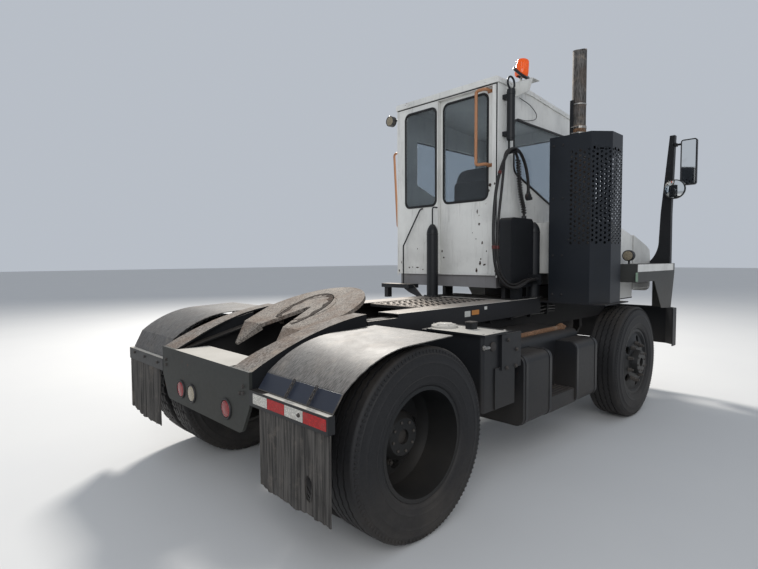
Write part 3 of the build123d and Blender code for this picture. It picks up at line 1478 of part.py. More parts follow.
# Lift cylinders, barrel eyes on the hanger, rod eyes on the boom's pin
cyl_dx = rod_pin_x - base_pin_x
cyl_dz = rod_pin_z - base_pin_z
cyl_len = math.hypot(cyl_dx, cyl_dz)
cyl_plane = Plane(origin=(ahead(base_pin_x), 0, base_pin_z), x_dir=(0, 1, 0), z_dir=(cyl_dx, 0, cyl_dz))
barrel_top = cyl_len - 55
eye_half = 22
with BuildPart() as lift_barrels:
    for side in (1, -1):
        with BuildSketch(cyl_plane):
            with Locations((side * cylinder_y, 0)):
                Circle(rod_r)
        extrude(amount=eye_r + 26)
        with BuildSketch(cyl_plane.offset(eye_r + 18)):
            with Locations((side * cylinder_y, 0)):
                Circle(barrel_r)
        extrude(amount=barrel_top - eye_r - 18)
        with BuildSketch(side_face(side * cylinder_y + eye_half)):
            with Locations((ahead(base_pin_x), base_pin_z)):
                Circle(eye_r)
        extrude(amount=2 * eye_half)
        with BuildSketch(cyl_plane.offset(eye_r + 36)):
            with Locations((side * cylinder_y, 0)):
                Circle(rod_r + pin_gap)
        extrude(amount=barrel_top, mode=Mode.SUBTRACT)
        with BuildSketch(side_face(side * cylinder_y + eye_half + 8)):
            with Locations((ahead(base_pin_x), base_pin_z)):
                Circle(eye_pin_r + pin_gap)
        extrude(amount=2 * (eye_half + 8), mode=Mode.SUBTRACT)
lift_barrels.part.label = "lift_barrels"
export_step(lift_barrels.part, "parts/lift_barrels.step")

with BuildPart() as lift_rods:
    for side in (1, -1):
        with BuildSketch(cyl_plane.offset(eye_r + 44)):
            with Locations((side * cylinder_y, 0)):
                Circle(rod_r)
        extrude(amount=cyl_len - eye_r - 44)
        with BuildSketch(side_face(side * cylinder_y + eye_half - 2)):
            with Locations((ahead(rod_pin_x), rod_pin_z)):
                Circle(eye_r)
        extrude(amount=2 * (eye_half - 2))
        with BuildSketch(side_face(side * cylinder_y + eye_half + 8)):
            with Locations((ahead(rod_pin_x), rod_pin_z)):
                Circle(eye_pin_r + open_eye_play)
        extrude(amount=2 * (eye_half + 8), mode=Mode.SUBTRACT)
lift_rods.part.label = "lift_rods"
export_step(lift_rods.part, "parts/lift_rods.step")

# Tyres: half a section, from the bead out to the tread's middle
tyre_half = [
    (bead_r + seat_gap, 103.2), (flange_r + 0.5, 107.2), (flange_r + 0.6, 119),
    (flange_r + 32, tyre_half_w - 6), (flange_r + 102, tyre_half_w), (tyre_r - 44, tyre_half_w - 7),
    (tyre_r - 10, tyre_half_w - 21), (tyre_r, tyre_half_w - 42),
]
for name, x, centres in (
    ("rear_left_tyres", 0, (rear_inner_y, rear_outer_y)),
    ("rear_right_tyres", 0, (-rear_inner_y, -rear_outer_y)),
    ("front_left_tyre", front_axle_x, (front_y,)),
    ("front_right_tyre", front_axle_x, (-front_y,)),
):
    with BuildPart() as tyre:
        for y in centres:
            with BuildSketch(Plane.XY.offset(axle_z)):
                with BuildLine():
                    one = [(ahead(x) + r, y + w) for r, w in tyre_half]
                    two = [(px, 2 * y - py) for px, py in reversed(one)]
                    Polyline(*one, *two, close=True)
                make_face()
        revolve(axis=Axis((ahead(x), 0, axle_z), (0, 1, 0)))
    tyre.part.label = name
    export_step(tyre.part, "parts/" + name + ".step")

# Rims, discs and hubs
rim_in_r = bead_r - rim_wall
hole_circle_r = 205
for name, side in (("rear_left_wheels", 1), ("rear_right_wheels", -1)):
    with BuildPart() as rear_wheel:
        with BuildSketch(Plane.XY.offset(axle_z)):
            with BuildLine():
                profile = [
                    (spindle_r + pin_gap, 650), (150, 650), (150, 860), (250, 868),
                    (rim_in_r, 800), (rim_in_r, rear_inner_y - 118),
                    (flange_r, rear_inner_y - 118), (flange_r, rear_inner_y - 108),
                    (bead_r, rear_inner_y - 104), (bead_r, rear_inner_y + 112),
                    (bead_r - 2, 842), (bead_r, 940), (bead_r, rear_outer_y + 104),
                    (flange_r, rear_outer_y + 108), (flange_r, rear_outer_y + 118),
                    (rim_in_r, rear_outer_y + 118), (rim_in_r, 970),
                    (250, 905), (140, 896), (130, 1000), (100, 1030), (spindle_r + pin_gap, 1030),
                ]
                Polyline(*[(ahead(0) + r, side * w) for r, w in profile], close=True)
            make_face()
        revolve(axis=Axis((ahead(0), 0, axle_z), (0, 1, 0)))
        with BuildSketch(side_face(side * 885 + 60)):
            with Locations((ahead(0), axle_z)):
                with PolarLocations(hole_circle_r, hand_holes):
                    Circle(hand_hole_r)
        extrude(amount=120, mode=Mode.SUBTRACT)
    rear_wheel.part.label = name
    export_step(rear_wheel.part, "parts/" + name + ".step")

for name, side in (("front_left", 1), ("front_right", -1)):
    with BuildPart() as front_wheel:
        with BuildSketch(Plane.XY.offset(axle_z)):
            with BuildLine():
                profile = [
                    (spindle_r + pin_gap, 960), (130, 960), (150, 1010), (150, 1180), (240, 1165),
                    (rim_in_r, 1120), (rim_in_r, front_y - 118),
                    (flange_r, front_y - 118), (flange_r, front_y - 108),
                    (bead_r, front_y - 104), (bead_r, front_y + 104),
                    (flange_r, front_y + 108), (flange_r, front_y + 118),
                    (rim_in_r, front_y + 118), (260, 1172), (180, 1192),
                    (110, 1195), (100, 1245), (spindle_r + pin_gap, 1245),
                ]
                Polyline(*[(ahead(front_axle_x) + r, side * w) for r, w in profile], close=True)
            make_face()
        revolve(axis=Axis((ahead(front_axle_x), 0, axle_z), (0, 1, 0)))
        with BuildSketch(side_face(side * 1180 + 60)):
            with Locations((ahead(front_axle_x), axle_z)):
                with PolarLocations(hole_circle_r + 3, hand_holes):
                    Circle(hand_hole_r)
        extrude(amount=120, mode=Mode.SUBTRACT)
    front_wheel.part.label = name + "_wheel"
    export_step(front_wheel.part, "parts/" + name + "_wheel.step")

    with BuildPart() as knuckle:
        for z0 in (axle_z - 100, axle_z + 66):
            with BuildSketch(Plane.XY.offset(z0)):
                with Locations((ahead(front_axle_x), side * (king_y + 30))):
                    Rectangle(90, 110)
                with Locations((ahead(front_axle_x), side * king_y)):
                    Circle(45)
                    Circle(king_r + pin_gap, mode=Mode.SUBTRACT)
            extrude(amount=34)
        with Locations((ahead(front_axle_x), side * (king_y + 75), axle_z)):
            Box(90, 20, 200)
        with BuildSketch(side_face(side * (king_y + 80))):
            with Locations((ahead(front_axle_x), axle_z)):
                Circle(spindle_r)
        extrude(amount=-side * 290)
    knuckle.part.label = name + "_knuckle"
    export_step(knuckle.part, "parts/" + name + "_knuckle.step")
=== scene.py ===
import bpy, bmesh
from math import copysign, cos, exp, pi, radians, sin
from mathutils import Vector, Matrix, noise


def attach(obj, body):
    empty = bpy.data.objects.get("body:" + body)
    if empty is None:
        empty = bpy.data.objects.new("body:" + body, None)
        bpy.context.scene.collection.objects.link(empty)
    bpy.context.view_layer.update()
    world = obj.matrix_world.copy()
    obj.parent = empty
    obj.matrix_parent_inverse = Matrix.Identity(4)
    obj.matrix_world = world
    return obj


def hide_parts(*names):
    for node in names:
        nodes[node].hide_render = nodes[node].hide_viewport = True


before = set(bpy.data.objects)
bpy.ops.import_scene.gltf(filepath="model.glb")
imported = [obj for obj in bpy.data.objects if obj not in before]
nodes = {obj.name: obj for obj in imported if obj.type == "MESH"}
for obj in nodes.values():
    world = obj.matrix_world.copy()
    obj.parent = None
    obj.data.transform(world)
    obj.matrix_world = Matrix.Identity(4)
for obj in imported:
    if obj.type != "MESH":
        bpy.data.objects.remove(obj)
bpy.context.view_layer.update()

# Places that come back below, in metres: x ahead of the rear axle, z above the ground
REAR = -1.78  # the rear axle's x in the frame
WHEELBASE, AXLE_Z = 2.946, 0.504
DECK_TOP, BEAM_LAMP_Z, TAPE_Z, BAR_TOP = 1.082, 0.645, 0.758, 0.7951
RIGHT_RAIL_Y, RIGHT_FENDER_Y, SEAT_Y = -0.5002, -1.1662, 0.3
LABEL = 0.0008, 0.0002  # thickness, and how far its edges are eased
TAU = 2 * pi
X, Y, Z = Vector((1, 0, 0)), Vector((0, 1, 0)), Vector((0, 0, 1))


def ahead(x):
    """Frame x of a point this far ahead of the rear axle."""
    return REAR + x


def at(x, y, z):
    """A point given ahead of the rear axle."""
    return Vector((ahead(x), y, z))


# Materials
def tone(colour, share, more=0.0):
    """A colour made darker or lighter."""
    return tuple(min(1.0, c * share + more) for c in colour)


class Paint:
    """One procedural material, built step by step on object coordinates in metres."""

    def __init__(self, name, rough, metal=0.0):
        self.m = bpy.data.materials.new(name)
        self.m.use_nodes = True
        self.nodes = self.m.node_tree.nodes
        self.link = self.m.node_tree.links.new
        self.bsdf = self.nodes["Principled BSDF"]
        self.set(Roughness=rough, Metallic=metal)
        self.coord = self.node("TexCoord").outputs["Object"]
        self.normal = self.node("NewGeometry").outputs["Normal"]

    def set(self, **values):
        for key, value in values.items():
            self.bsdf.inputs[key].default_value = value

    def node(self, kind, **values):
        n = self.nodes.new("ShaderNode" + kind)
        for key, value in values.items():
            n.inputs[key].default_value = value
        return n

    def noise(self, scale, detail=4.0, rough=0.55, stretch=(1, 1, 1), distort=0.0):
        m = self.node("Mapping", Scale=stretch)
        self.link(self.coord, m.inputs["Vector"])
        n = self.node("TexNoise", Scale=scale, Detail=detail, Roughness=rough, Distortion=distort)
        self.link(m.outputs[0], n.inputs["Vector"])
        return n.outputs[0]

    def cells(self, scale):
        n = self.node("TexVoronoi", Scale=scale)
        self.link(self.coord, n.inputs["Vector"])
        return n.outputs[0]

    def span(self, value, low, high, to_low=0.0, to_high=1.0):
        """A smooth step from to_low to to_high as the value goes from low to high."""
        n = self.node("MapRange", **{"From Min": low, "From Max": high, "To Min": to_low, "To Max": to_high})
        n.interpolation_type = "SMOOTHSTEP"
        self.link(value, n.inputs["Value"])
        return n.outputs["Result"]

    def calc(self, op, a, b):
        n = self.node("Math")
        n.operation = op
        n.use_clamp = True
        for i, v in enumerate((a, b)):
            if isinstance(v, float):
                n.inputs[i].default_value = v
            else:
                self.link(v, n.inputs[i])
        return n.outputs[0]

    def times(self, a, b):
        return self.calc("MULTIPLY", a, b)

    def plus(self, a, b):
        return self.calc("ADD", a, b)

    def mix(self, share, a, b):
        n = self.node("Mix")
        n.data_type = "RGBA"
        self.link(share, n.inputs["Factor"])
        for key, v in ((6, a), (7, b)):
            if isinstance(v, tuple):
                n.inputs[key].default_value = (*v, 1.0)
            else:
                self.link(v, n.inputs[key])
        return n.outputs[2]

    def part(self, vector, i):
        n = self.node("SeparateXYZ")
        self.link(vector, n.inputs[0])
        return n.outputs[i]

    def up(self, low=0.3, high=0.95):
        """1 on faces that look up."""
        return self.span(self.part(self.normal, 2), low, high)

    def height(self, low, high):
        """1 below low, 0 above high, in metres above the ground."""
        return self.span(self.part(self.coord, 2), low, high, 1.0, 0.0)

    def behind(self, low, high):
        """1 behind low, 0 ahead of high, in metres along x."""
        return self.span(self.part(self.coord, 0), low, high, 1.0, 0.0)

    def colour(self, value):
        self.link(value, self.bsdf.inputs["Base Color"])

    def gloss(self, value, low, high):
        self.link(self.span(value, 0.0, 1.0, low, high), self.bsdf.inputs["Roughness"])

    def bump(self, value, strength, depth):
        n = self.node("Bump", Strength=strength, Distance=depth)
        self.link(value, n.inputs["Height"])
        self.link(n.outputs[0], self.bsdf.inputs["Normal"])


DUST = (0.3, 0.25, 0.2)
RUST = (0.12, 0.045, 0.018)
SHINE = "Specular IOR Level"


def painted(name, base, dust=0.3, chips=0.5, rough=0.42, dust_colour=DUST, grime=0.0, low=0.0, high=1.0,
            shade_below=None, worn_behind=None):
    """Sprayed sheet metal with settled dust, run-down dirt, scuffs and small rusted chips; where asked, near-black
    painted shade below a height.
    """
    p = Paint(name, rough)
    cloud = p.noise(2.6, 6, 0.62)
    fine = p.noise(38, 5, 0.6)
    shade = p.mix(p.span(cloud, 0.35, 0.7), base, tone(base, 0.82))
    settled = p.times(p.plus(p.up(), p.height(low, high)), p.span(cloud, 0.25, 0.75, dust * 0.45, dust))
    shade = p.mix(settled, shade, dust_colour)
    if grime:
        runs = p.noise(9, 4, 0.6, stretch=(3.2, 3.2, 0.35))
        shade = p.mix(p.span(runs, 0.52, 0.8, 0.0, grime), shade, tone(dust_colour, 0.35))
    scuffs = p.span(p.noise(70, 3, 0.7, stretch=(1, 1, 0.2)), 0.62, 0.78, 0.0, 0.35)
    shade = p.mix(scuffs, shade, tone(base, 1.35, 0.02))
    spots = p.span(p.noise(26, 6, 0.7, distort=0.4), 0.7 - 0.1 * chips, 0.73 - 0.1 * chips, 0.0, 0.9)
    shade = p.mix(p.times(spots, p.span(p.noise(3.1, 2), 0.5, 0.62)), shade, RUST)
    if worn_behind:
        patchy = p.times(p.up(0.6, 0.9), p.span(p.noise(7, 7, 0.7), 0.25, 0.6, 0.45, 1.0))
        shade = p.mix(p.times(p.behind(worn_behind, worn_behind + 0.1), patchy), shade, (0.4, 0.35, 0.3))
    # Painted shade: near black below the given height, for the cab's feet in the shade under the cab
    if shade_below:
        shade = p.mix(p.height(shade_below, shade_below + 0.002), shade, (0.014, 0.014, 0.015))
    p.colour(shade)
    if max(base) < 0.1:
        p.set(**{SHINE: 0.32})
    p.gloss(p.plus(settled, p.times(fine, 0.35)), rough, min(0.95, rough + 0.4))
    p.bump(p.plus(p.times(fine, 0.3), p.times(cloud, 0.5)), 0.12, 0.003)
    return p.m


def worn_plate(name, base, streak=(5, 5, 5), rust=0.35, rough=0.5, metal=0.25, light=1.9, tan=0.5, shine=0.5,
               sides=None):
    """Bare rubbed steel: long scratches along the travel, with rust, tan dust and dark spots in random patches."""
    p = Paint(name, rough, metal)
    cloud = p.noise(3.4, 8, 0.68, distort=0.5)
    lines = p.noise(30, 6, 0.65, stretch=streak)
    fine = p.noise(120, 4, 0.6)
    shade = p.mix(p.span(lines, 0.38, 0.62), tone(base, 0.45), tone(base, light))
    shade = p.mix(p.span(cloud, 0.42, 0.66, 0.0, rust), shade, (0.16, 0.085, 0.045))
    shade = p.mix(p.span(p.noise(8, 6, 0.7), 0.52, 0.7, 0.0, tan), shade, (0.36, 0.3, 0.24))
    shade = p.mix(p.span(p.noise(15, 7, 0.75, distort=0.8), 0.6, 0.68, 0.0, 0.8), shade, tone(base, 0.28))
    # sides: one colour for faces that don't look up: the ramps' black paint, and painted shade on the grating
    if sides:
        shade = p.mix(p.up(0.45, 0.75), sides, shade)
    p.colour(shade)
    p.set(**{SHINE: shine})
    p.gloss(p.plus(p.times(lines, 0.6), p.times(cloud, 0.6)), rough - 0.12, rough + 0.35)
    p.bump(p.plus(p.times(lines, 0.5), p.times(fine, 0.4)), 0.35, 0.002)
    return p.m


def rubbery(name, base, dust, rough=0.5, bump=0.15, grain=120, high=0.9):
    """Rubber, cloth or plastic with a fine skin and dust rubbed into it, more of it below high."""
    p = Paint(name, rough)
    cloud = p.noise(5, 6, 0.62)
    fine = p.noise(grain, 5, 0.65)
    shade = p.mix(p.span(fine, 0.3, 0.7), tone(base, 0.75), tone(base, 1.25))
    film = p.times(p.plus(p.height(0.0, high), p.up(0.2, 1.0)), p.span(cloud, 0.3, 0.72, dust * 0.3, dust))
    p.colour(p.mix(film, shade, DUST))
    p.set(**{SHINE: 0.32})
    p.gloss(p.plus(film, p.times(fine, 0.3)), rough - 0.12, min(0.98, rough + 0.15))
    p.bump(fine, bump, 0.0015)
    return p.m


def lens(name, colour, rough=0.16, glow=0.0, coat=0.15, dust=0.35):
    """Moulded coloured plastic lens with a prismatic inside."""
    p = Paint(name, rough)
    ribs = p.cells(110)
    shade = p.mix(p.span(ribs, 0.0, 0.6), colour, tone(colour, 0.55))
    p.colour(p.mix(p.span(p.noise(14, 4), 0.5, 0.8, 0.0, dust), shade, DUST))
    p.set(**{"Coat Weight": coat, SHINE: 0.3})
    p.bump(ribs, 0.25, 0.001)
    if glow:
        p.set(**{"Emission Color": (*colour, 1.0), "Emission Strength": glow})
    return p.m


def pane(name, tint, rough=0.03):
    """Window glass: a dark tint that lets light through, with a thin film of dust."""
    p = Paint(name, rough)
    film = p.span(p.noise(2.5, 6, 0.7), 0.45, 0.85, 0.0, 0.25)
    p.colour(p.mix(film, tint, (0.75, 0.76, 0.74)))
    p.set(**{"Transmission Weight": 0.96, "IOR": 1.2})
    p.gloss(film, rough, 0.25)
    return p.m


def mirror(name):
    """Silvered glass with dusty patches."""
    p = Paint(name, 0.04, 1.0)
    p.colour(p.mix(p.span(p.noise(9, 4), 0.5, 0.9, 0.0, 0.3), (0.8, 0.82, 0.82), (0.45, 0.44, 0.42)))
    return p.m


M = {
    "white": painted("white_sheet_paint", (0.74, 0.74, 0.71), dust=0.16, rough=0.38, grime=0.3, low=0.9, high=1.9),
    # Grey recessed skirt under the white cab: part dirt, part painted shade; near black below 1.183 as painted shade
    # on the feet under the cab
    "base": painted("cab_base_paint_and_shade", (0.2, 0.2, 0.21), dust=0.2, chips=0.6, rough=0.45, grime=0.35, low=0.9,
                    high=1.9, shade_below=1.183),
    # Pale dust; the same colour is also painted sunlight on the plate between the ramps
    "dusty": painted("dust_and_painted_sunlight", (0.5, 0.48, 0.44), dust=0.6, rough=0.75, dust_colour=(0.46, 0.43, 0.38),
                     low=0.5, high=1.2),
    # Dark blue-grey: painted shade on the lower curve of the right rear fender
    "strip": painted("painted_fender_shade", (0.02, 0.026, 0.042), dust=0.06, chips=0.3, rough=0.32, low=0.1, high=0.5),
    "black": painted("black_frame_paint", (0.01, 0.011, 0.013), dust=0.13, chips=0.2, low=0.1, high=0.9),
    "black_gloss": painted("black_guard_paint", (0.012, 0.015, 0.02), dust=0.08, chips=0.1, rough=0.36, low=0.8,
                           high=1.3),
    "under": painted("underframe_paint", (0.01, 0.01, 0.011), dust=0.18, rough=0.6, low=0.1, high=1.1),
    "deck": painted("deck_paint", (0.014, 0.015, 0.018), dust=0.16, chips=0.6, rough=0.5, low=0.4, high=1.2,
                    worn_behind=ahead(1.9)),
    # Dark grey, lighter than the frame's black: painted ambient light on the fenders' sides
    "wing": painted("front_fender_paint_and_light", (0.05, 0.052, 0.05), dust=0.25, chips=0.2, rough=0.5, low=0.4, high=1.5),
    "beam": painted("rear_beam_paint", (0.02, 0.023, 0.022), chips=0.6, rough=0.55,
                    dust_colour=(0.115, 0.105, 0.085), low=0.3, high=1.3),
    "bare": painted("bare_rusted_patch", (0.045, 0.028, 0.02), dust=0.1, rough=0.8),
    "wheel": painted("wheel_paint", (0.008, 0.009, 0.01), dust=0.08, chips=0.25, rough=0.45, low=0.1, high=0.8),
    "iron": painted("cast_iron_paint", (0.022, 0.022, 0.024), dust=0.25, chips=0.7, rough=0.65, low=0.2, high=1.4),
    "copper": painted("copper_coloured_paint", (0.4, 0.18, 0.08), dust=0.2, chips=0.4, high=0.5),
    # Pale: painted highlight on the deck's edges where they catch the light
    "edge": painted("painted_edge_highlight", (0.62, 0.59, 0.54), chips=0.6, rough=0.5, dust_colour=(0.5, 0.46, 0.4)),
    "label": painted("blank_label", (0.62, 0.62, 0.58), chips=0.1, rough=0.4),
    "green_label": painted("blank_green_label", (0.16, 0.26, 0.17), chips=0.1, rough=0.4),
    "orange_label": painted("blank_orange_label", (0.55, 0.22, 0.05), chips=0.1, rough=0.4),
    "ramp": worn_plate("worn_ramp_steel", (0.165, 0.15, 0.135), streak=(0.5, 5, 5), rough=0.65, shine=0.25,
                       sides=(0.012, 0.013, 0.015)),
    "plate": worn_plate("worn_coupling_steel", (0.18, 0.16, 0.14), streak=(1.6, 5, 5), rust=0.4, rough=0.65,
                        shine=0.25),
    "grease": worn_plate("greasy_steel", (0.06, 0.052, 0.046), streak=(1.6, 5, 5), rust=0.2, rough=0.85, metal=0.0,
                         tan=0.3, shine=0.05),
    "crack": worn_plate("black_grease", (0.012, 0.01, 0.009), streak=(0.5, 6, 6), rust=0.0, rough=0.9, metal=0.0,
                        tan=0.0, shine=0.02),
    "fender": worn_plate("scuffed_fender_sheet", (0.115, 0.11, 0.104), streak=(1.0, 9, 1.0), rust=0.06, rough=0.4,
                         metal=0.3, light=1.5, tan=0.18),
    # Dark sides: painted shade on the upright faces of the grating's teeth and frame
    "grate": worn_plate("grating_steel_and_painted_shade", (0.34, 0.3, 0.26), light=1.4, sides=(0.022, 0.021, 0.02)),
    "tread": worn_plate("tread_steel", (0.14, 0.13, 0.12), rust=0.5, metal=0.5),
    "flap": worn_plate("mudflap_rubber", (0.052, 0.048, 0.044), streak=(2.4, 2.4, 0.1), rust=0.0, rough=0.85,
                       metal=0.0, light=1.55, tan=0.14),
    "steel": worn_plate("bright_steel", (0.45, 0.44, 0.42), streak=(8, 8, 0.7), rust=0.08, rough=0.3, metal=0.95,
                        light=1.3),
    "rust": worn_plate("rusty_pipe", (0.16, 0.085, 0.045), streak=(3, 3, 3), rust=0.8, rough=0.75, metal=0.15),
    "stack": worn_plate("stack_steel", (0.1, 0.095, 0.09), streak=(4, 4, 0.6), metal=0.6, light=1.6),
    "tyre": rubbery("tyre_rubber", (0.012, 0.012, 0.013), dust=0.12, rough=0.72, bump=0.3, grain=90, high=0.6),
    "hose": rubbery("hose_rubber", (0.012, 0.011, 0.011), dust=0.06, high=0.8),
    "red_hose": rubbery("red_hose_rubber", (0.1, 0.018, 0.014), dust=0.2, high=0.8),
    # Dark rubber of the seals; also painted shadow under the roof's lip
    "seal_and_shadow": rubbery("seal_rubber_and_painted_shadow", (0.01, 0.01, 0.011), dust=0.06, rough=0.55, bump=0.1, grain=90),
    "plastic": rubbery("moulded_black_plastic", (0.014, 0.015, 0.017), dust=0.08, rough=0.45, bump=0.08, grain=200,
                       high=1.2),
    "dash": rubbery("dash_plastic", (0.06, 0.06, 0.062), dust=0.15, rough=0.6, bump=0.25, grain=160),
    "seat": rubbery("seat_cloth", (0.035, 0.035, 0.04), dust=0.1, rough=0.9, bump=0.6, grain=420, high=0.5),
    "red": lens("red_lens", (0.3, 0.006, 0.012), dust=0.12),
    "amber": lens("amber_lens", (0.95, 0.12, 0.008), glow=0.3, coat=0.2, dust=0.1),
    # Tan: dirt in the lens, darkened further as painted shade
    "clear": lens("clear_lens", (0.42, 0.36, 0.26)),
    "red_tape": lens("red_reflective_tape", (0.48, 0.006, 0.008), rough=0.4, coat=0.0, dust=0.12),
    "white_tape": lens("white_reflective_tape", (0.7, 0.68, 0.62), rough=0.4, coat=0.0),
    "glass": pane("cab_window_glass", (0.58, 0.63, 0.67)),
    "mirror": mirror("mirror_glass"),
}

LOOKS = {
    "base": "cab_base", "white": "cab_rear_wall cab_sides cab_front_wall cab_roof cab_door hood side_cover",
    "black": "flap_bars front_bumper mirror_posts mirrors deck_posts air_box hydraulic_tank side_tank work_lamps",
    "black_gloss": "muffler_guard", "beam": "rear_beam", "deck": "deck", "wing": "front_fenders",
    "under": "frame_rails crossmembers cylinder_hanger axles front_springs drive_shaft lift_boom lift_barrels",
    "ramp": "rear_ramps", "plate": "fifth_wheel fifth_wheel_tails", "fender": "rear_fenders",
    "grate": "deck_grating", "flap": "mudflaps", "hose": "air_hose supply_hose",
    "iron": "glad_hand engine front_left_knuckle front_right_knuckle",
    "tyre": "rear_left_tyres rear_right_tyres front_left_tyre front_right_tyre",
    "wheel": "rear_left_wheels rear_right_wheels front_left_wheel front_right_wheel",
    "steel": "lift_rods", "copper": "door_handle grab_handle", "red": "tail_lamps", "amber": "beacon",
    "glass": "cab_glass door_glass", "seat": "seat", "dash": "dash", "plastic": "steering_wheel", "stack": "exhaust",
}
for look, names in LOOKS.items():
    for name in names.split():
        o = nodes[name]
        if not o.data.materials:
            o.data.materials.append(None)
        for place in o.material_slots:
            place.link = "OBJECT"
            place.material = M[look]


# Shapes
def inset(outline, d):
    """A closed counter-clockwise outline moved inward by d."""
    out = []
    for i, (x, y) in enumerate(outline):
        (ax, ay), (bx, by) = outline[i - 1], outline[(i + 1) % len(outline)]
        e, f = Vector((x - ax, y - ay)).normalized(), Vector((bx - x, by - y)).normalized()
        m = Vector((-e.y - f.y, e.x + f.x)) / max(0.4, 1 + e.dot(f))
        out.append((x + m.x * d, y + m.y * d))
    return out


def rect(x0, y0, x1, y1):
    return [(x0, y0), (x1, y0), (x1, y1), (x0, y1)]


def rounded(w, h, r, steps=5, cx=0.0, cy=0.0):
    """Outline of a rectangle with rounded corners."""
    out = []
    for k, (sx, sy) in enumerate(((1, 1), (-1, 1), (-1, -1), (1, -1))):
        for i in range(steps + 1):
            a = (k + i / steps) * pi / 2
            out.append((cx + sx * (w / 2 - r) + r * cos(a), cy + sy * (h / 2 - r) + r * sin(a)))
    return out


def corner(a, c, b, r, steps):
    """Points of a curve that rounds the corner c between a and b, from r before it to r behind it."""
    p, q = c + (a - c).normalized() * r, c + (b - c).normalized() * r
    return [p * (1 - t) ** 2 + c * 2 * t * (1 - t) + q * t * t for t in (k / steps for k in range(steps + 1))]


def softened(corners, r, steps):
    """A closed outline with its corners rounded to about r."""
    c = [Vector(p) for p in corners]
    return [(p.x, p.y) for i in range(len(c)) for p in corner(c[i - 1], c[i], c[(i + 1) % len(c)], r, steps)]


def bent(points, r, steps=6):
    """A polyline in space with its corners rounded to about r."""
    inner = [p for a, c, b in zip(points, points[1:], points[2:]) for p in corner(a, c, b, r, steps)]
    return [points[0]] + inner + [points[-1]]


def spokes(u, w, sides):
    """Vectors all the way round, from u towards w."""
    return [u * cos(TAU * k / sides) + w * sin(TAU * k / sides) for k in range(sides)]


class Shape:
    """Vertices and faces gathered for one piece, in metres."""

    def __init__(self):
        self.v, self.f = [], []

    def add(self, points, faces):
        base = len(self.v)
        self.v += [tuple(p) for p in points]
        self.f += [tuple(base + i for i in f) for f in faces]

    def skin(self, rings, closed=True, caps=False, wrap=False):
        """Faces between rings of as many points each."""
        n, count = len(rings[0]), len(rings)
        faces = []
        for i in range(count if wrap else count - 1):
            j = (i + 1) % count
            for k in range(n if closed else n - 1):
                l = (k + 1) % n
                faces.append((i * n + k, i * n + l, j * n + l, j * n + k))
        if caps:
            faces.append(tuple(reversed(range(n))))
            faces.append(tuple((count - 1) * n + k for k in range(n)))
        self.add([p for r in rings for p in r], faces)

    def lathe(self, p, axis, profile, sides=24):
        """A profile of (radius, height) turned about an axis through p."""
        axis = axis.normalized()
        u = axis.orthogonal().normalized()
        turn = spokes(u, axis.cross(u), sides)
        self.skin([[p + axis * h + t * r for t in turn] for r, h in profile])

    def collar(self, p, axis, inner, outer, half, sides):
        """A ring with eased edges about an axis, from half below p to half above it."""
        self.lathe(p, axis, [(inner, -half), (outer, 0.002 - half), (outer, half - 0.002), (inner, half)], sides)

    def tube(self, path, radius, sides=10, loop=False):
        """A round bar along points."""
        n, rings = len(path), []
        normal = (path[1] - path[0]).normalized().orthogonal().normalized()
        for i, p in enumerate(path):
            a, b = (path[i - 1], path[(i + 1) % n]) if loop else (path[max(0, i - 1)], path[min(n - 1, i + 1)])
            t = (b - a).normalized()
            normal = (normal - t * normal.dot(t)).normalized()
            rings.append([p + out * radius for out in spokes(normal, t.cross(normal), sides)])
        self.skin(rings, caps=not loop, wrap=loop)

    def slab(self, outline, p, u, v, depth, ease=0.0015):
        """A plate: an outline in u and v, as thick as depth along their cross product, edges eased."""
        w = u.cross(v)
        inner = inset(outline, ease)
        self.skin([[p + u * a + v * b + w * h for a, b in o] for o, h in (
            (inner, 0.0), (outline, ease), (outline, depth - ease), (inner, depth))], caps=True)

    def level(self, outline, z, depth, ease=0.0015):
        """A plate that lies on the height z, its outline in x and y."""
        self.slab(outline, at(0, 0, z), X, Y, depth, ease)

    def upright(self, outline, y, depth, ease):
        """A plate on the right side, standing out from y, its outline in x and z."""
        self.slab(outline, at(0, y, 0), X, Z, depth, ease)

    def band(self, outline, p, u, width, depth):
        """A rubber or pressed moulding that follows a closed outline in u and z, inward from it."""
        w = u.cross(Z)
        self.skin([[p + u * a + Z * b + w * (h * depth) for a, b in inset(outline, width * share)] for share, h in (
            (0, 0), (0, 0.55), (0.2, 0.95), (0.5, 1.0), (0.8, 0.8), (1, 0.35), (1, 0))])

    def bolt(self, p, axis, size):
        """Washer and hexagon head, size across the corners."""
        r = size / 2
        self.lathe(p, axis, [(r * 1.25, 0), (r * 1.25, r * 0.16), (r * 1.1, r * 0.24), (r * 0.6, r * 0.26)], 14)
        head = [(r, r * 0.2), (r, r * 0.9), (r * 0.86, r * 1.05), (r * 0.3, r * 1.08), (0.0004, r * 1.08)]
        self.lathe(p, axis, head, 6)

    def make(self, name, look, body="chassis", angle=38, replaced=None):
        """The finished piece: it rides on a body and may stand for a CAD node. The shape is empty again after it."""
        mesh = bpy.data.meshes.new(name)
        mesh.from_pydata(self.v, [], self.f)
        self.v, self.f = [], []
        mesh.materials.append(M[look])
        b = bmesh.new()
        b.from_mesh(mesh)
        bmesh.ops.remove_doubles(b, verts=b.verts, dist=1e-6)
        bmesh.ops.recalc_face_normals(b, faces=b.faces)
        b.to_mesh(mesh)
        b.free()
        mesh.shade_smooth()
        mesh.set_sharp_from_angle(angle=radians(angle))
        o = bpy.data.objects.new(name, mesh)
        bpy.context.collection.objects.link(o)
        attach(o, body)
        if replaced:
            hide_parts(replaced)
        return o


s = Shape()  # each piece below is gathered in it and made from it

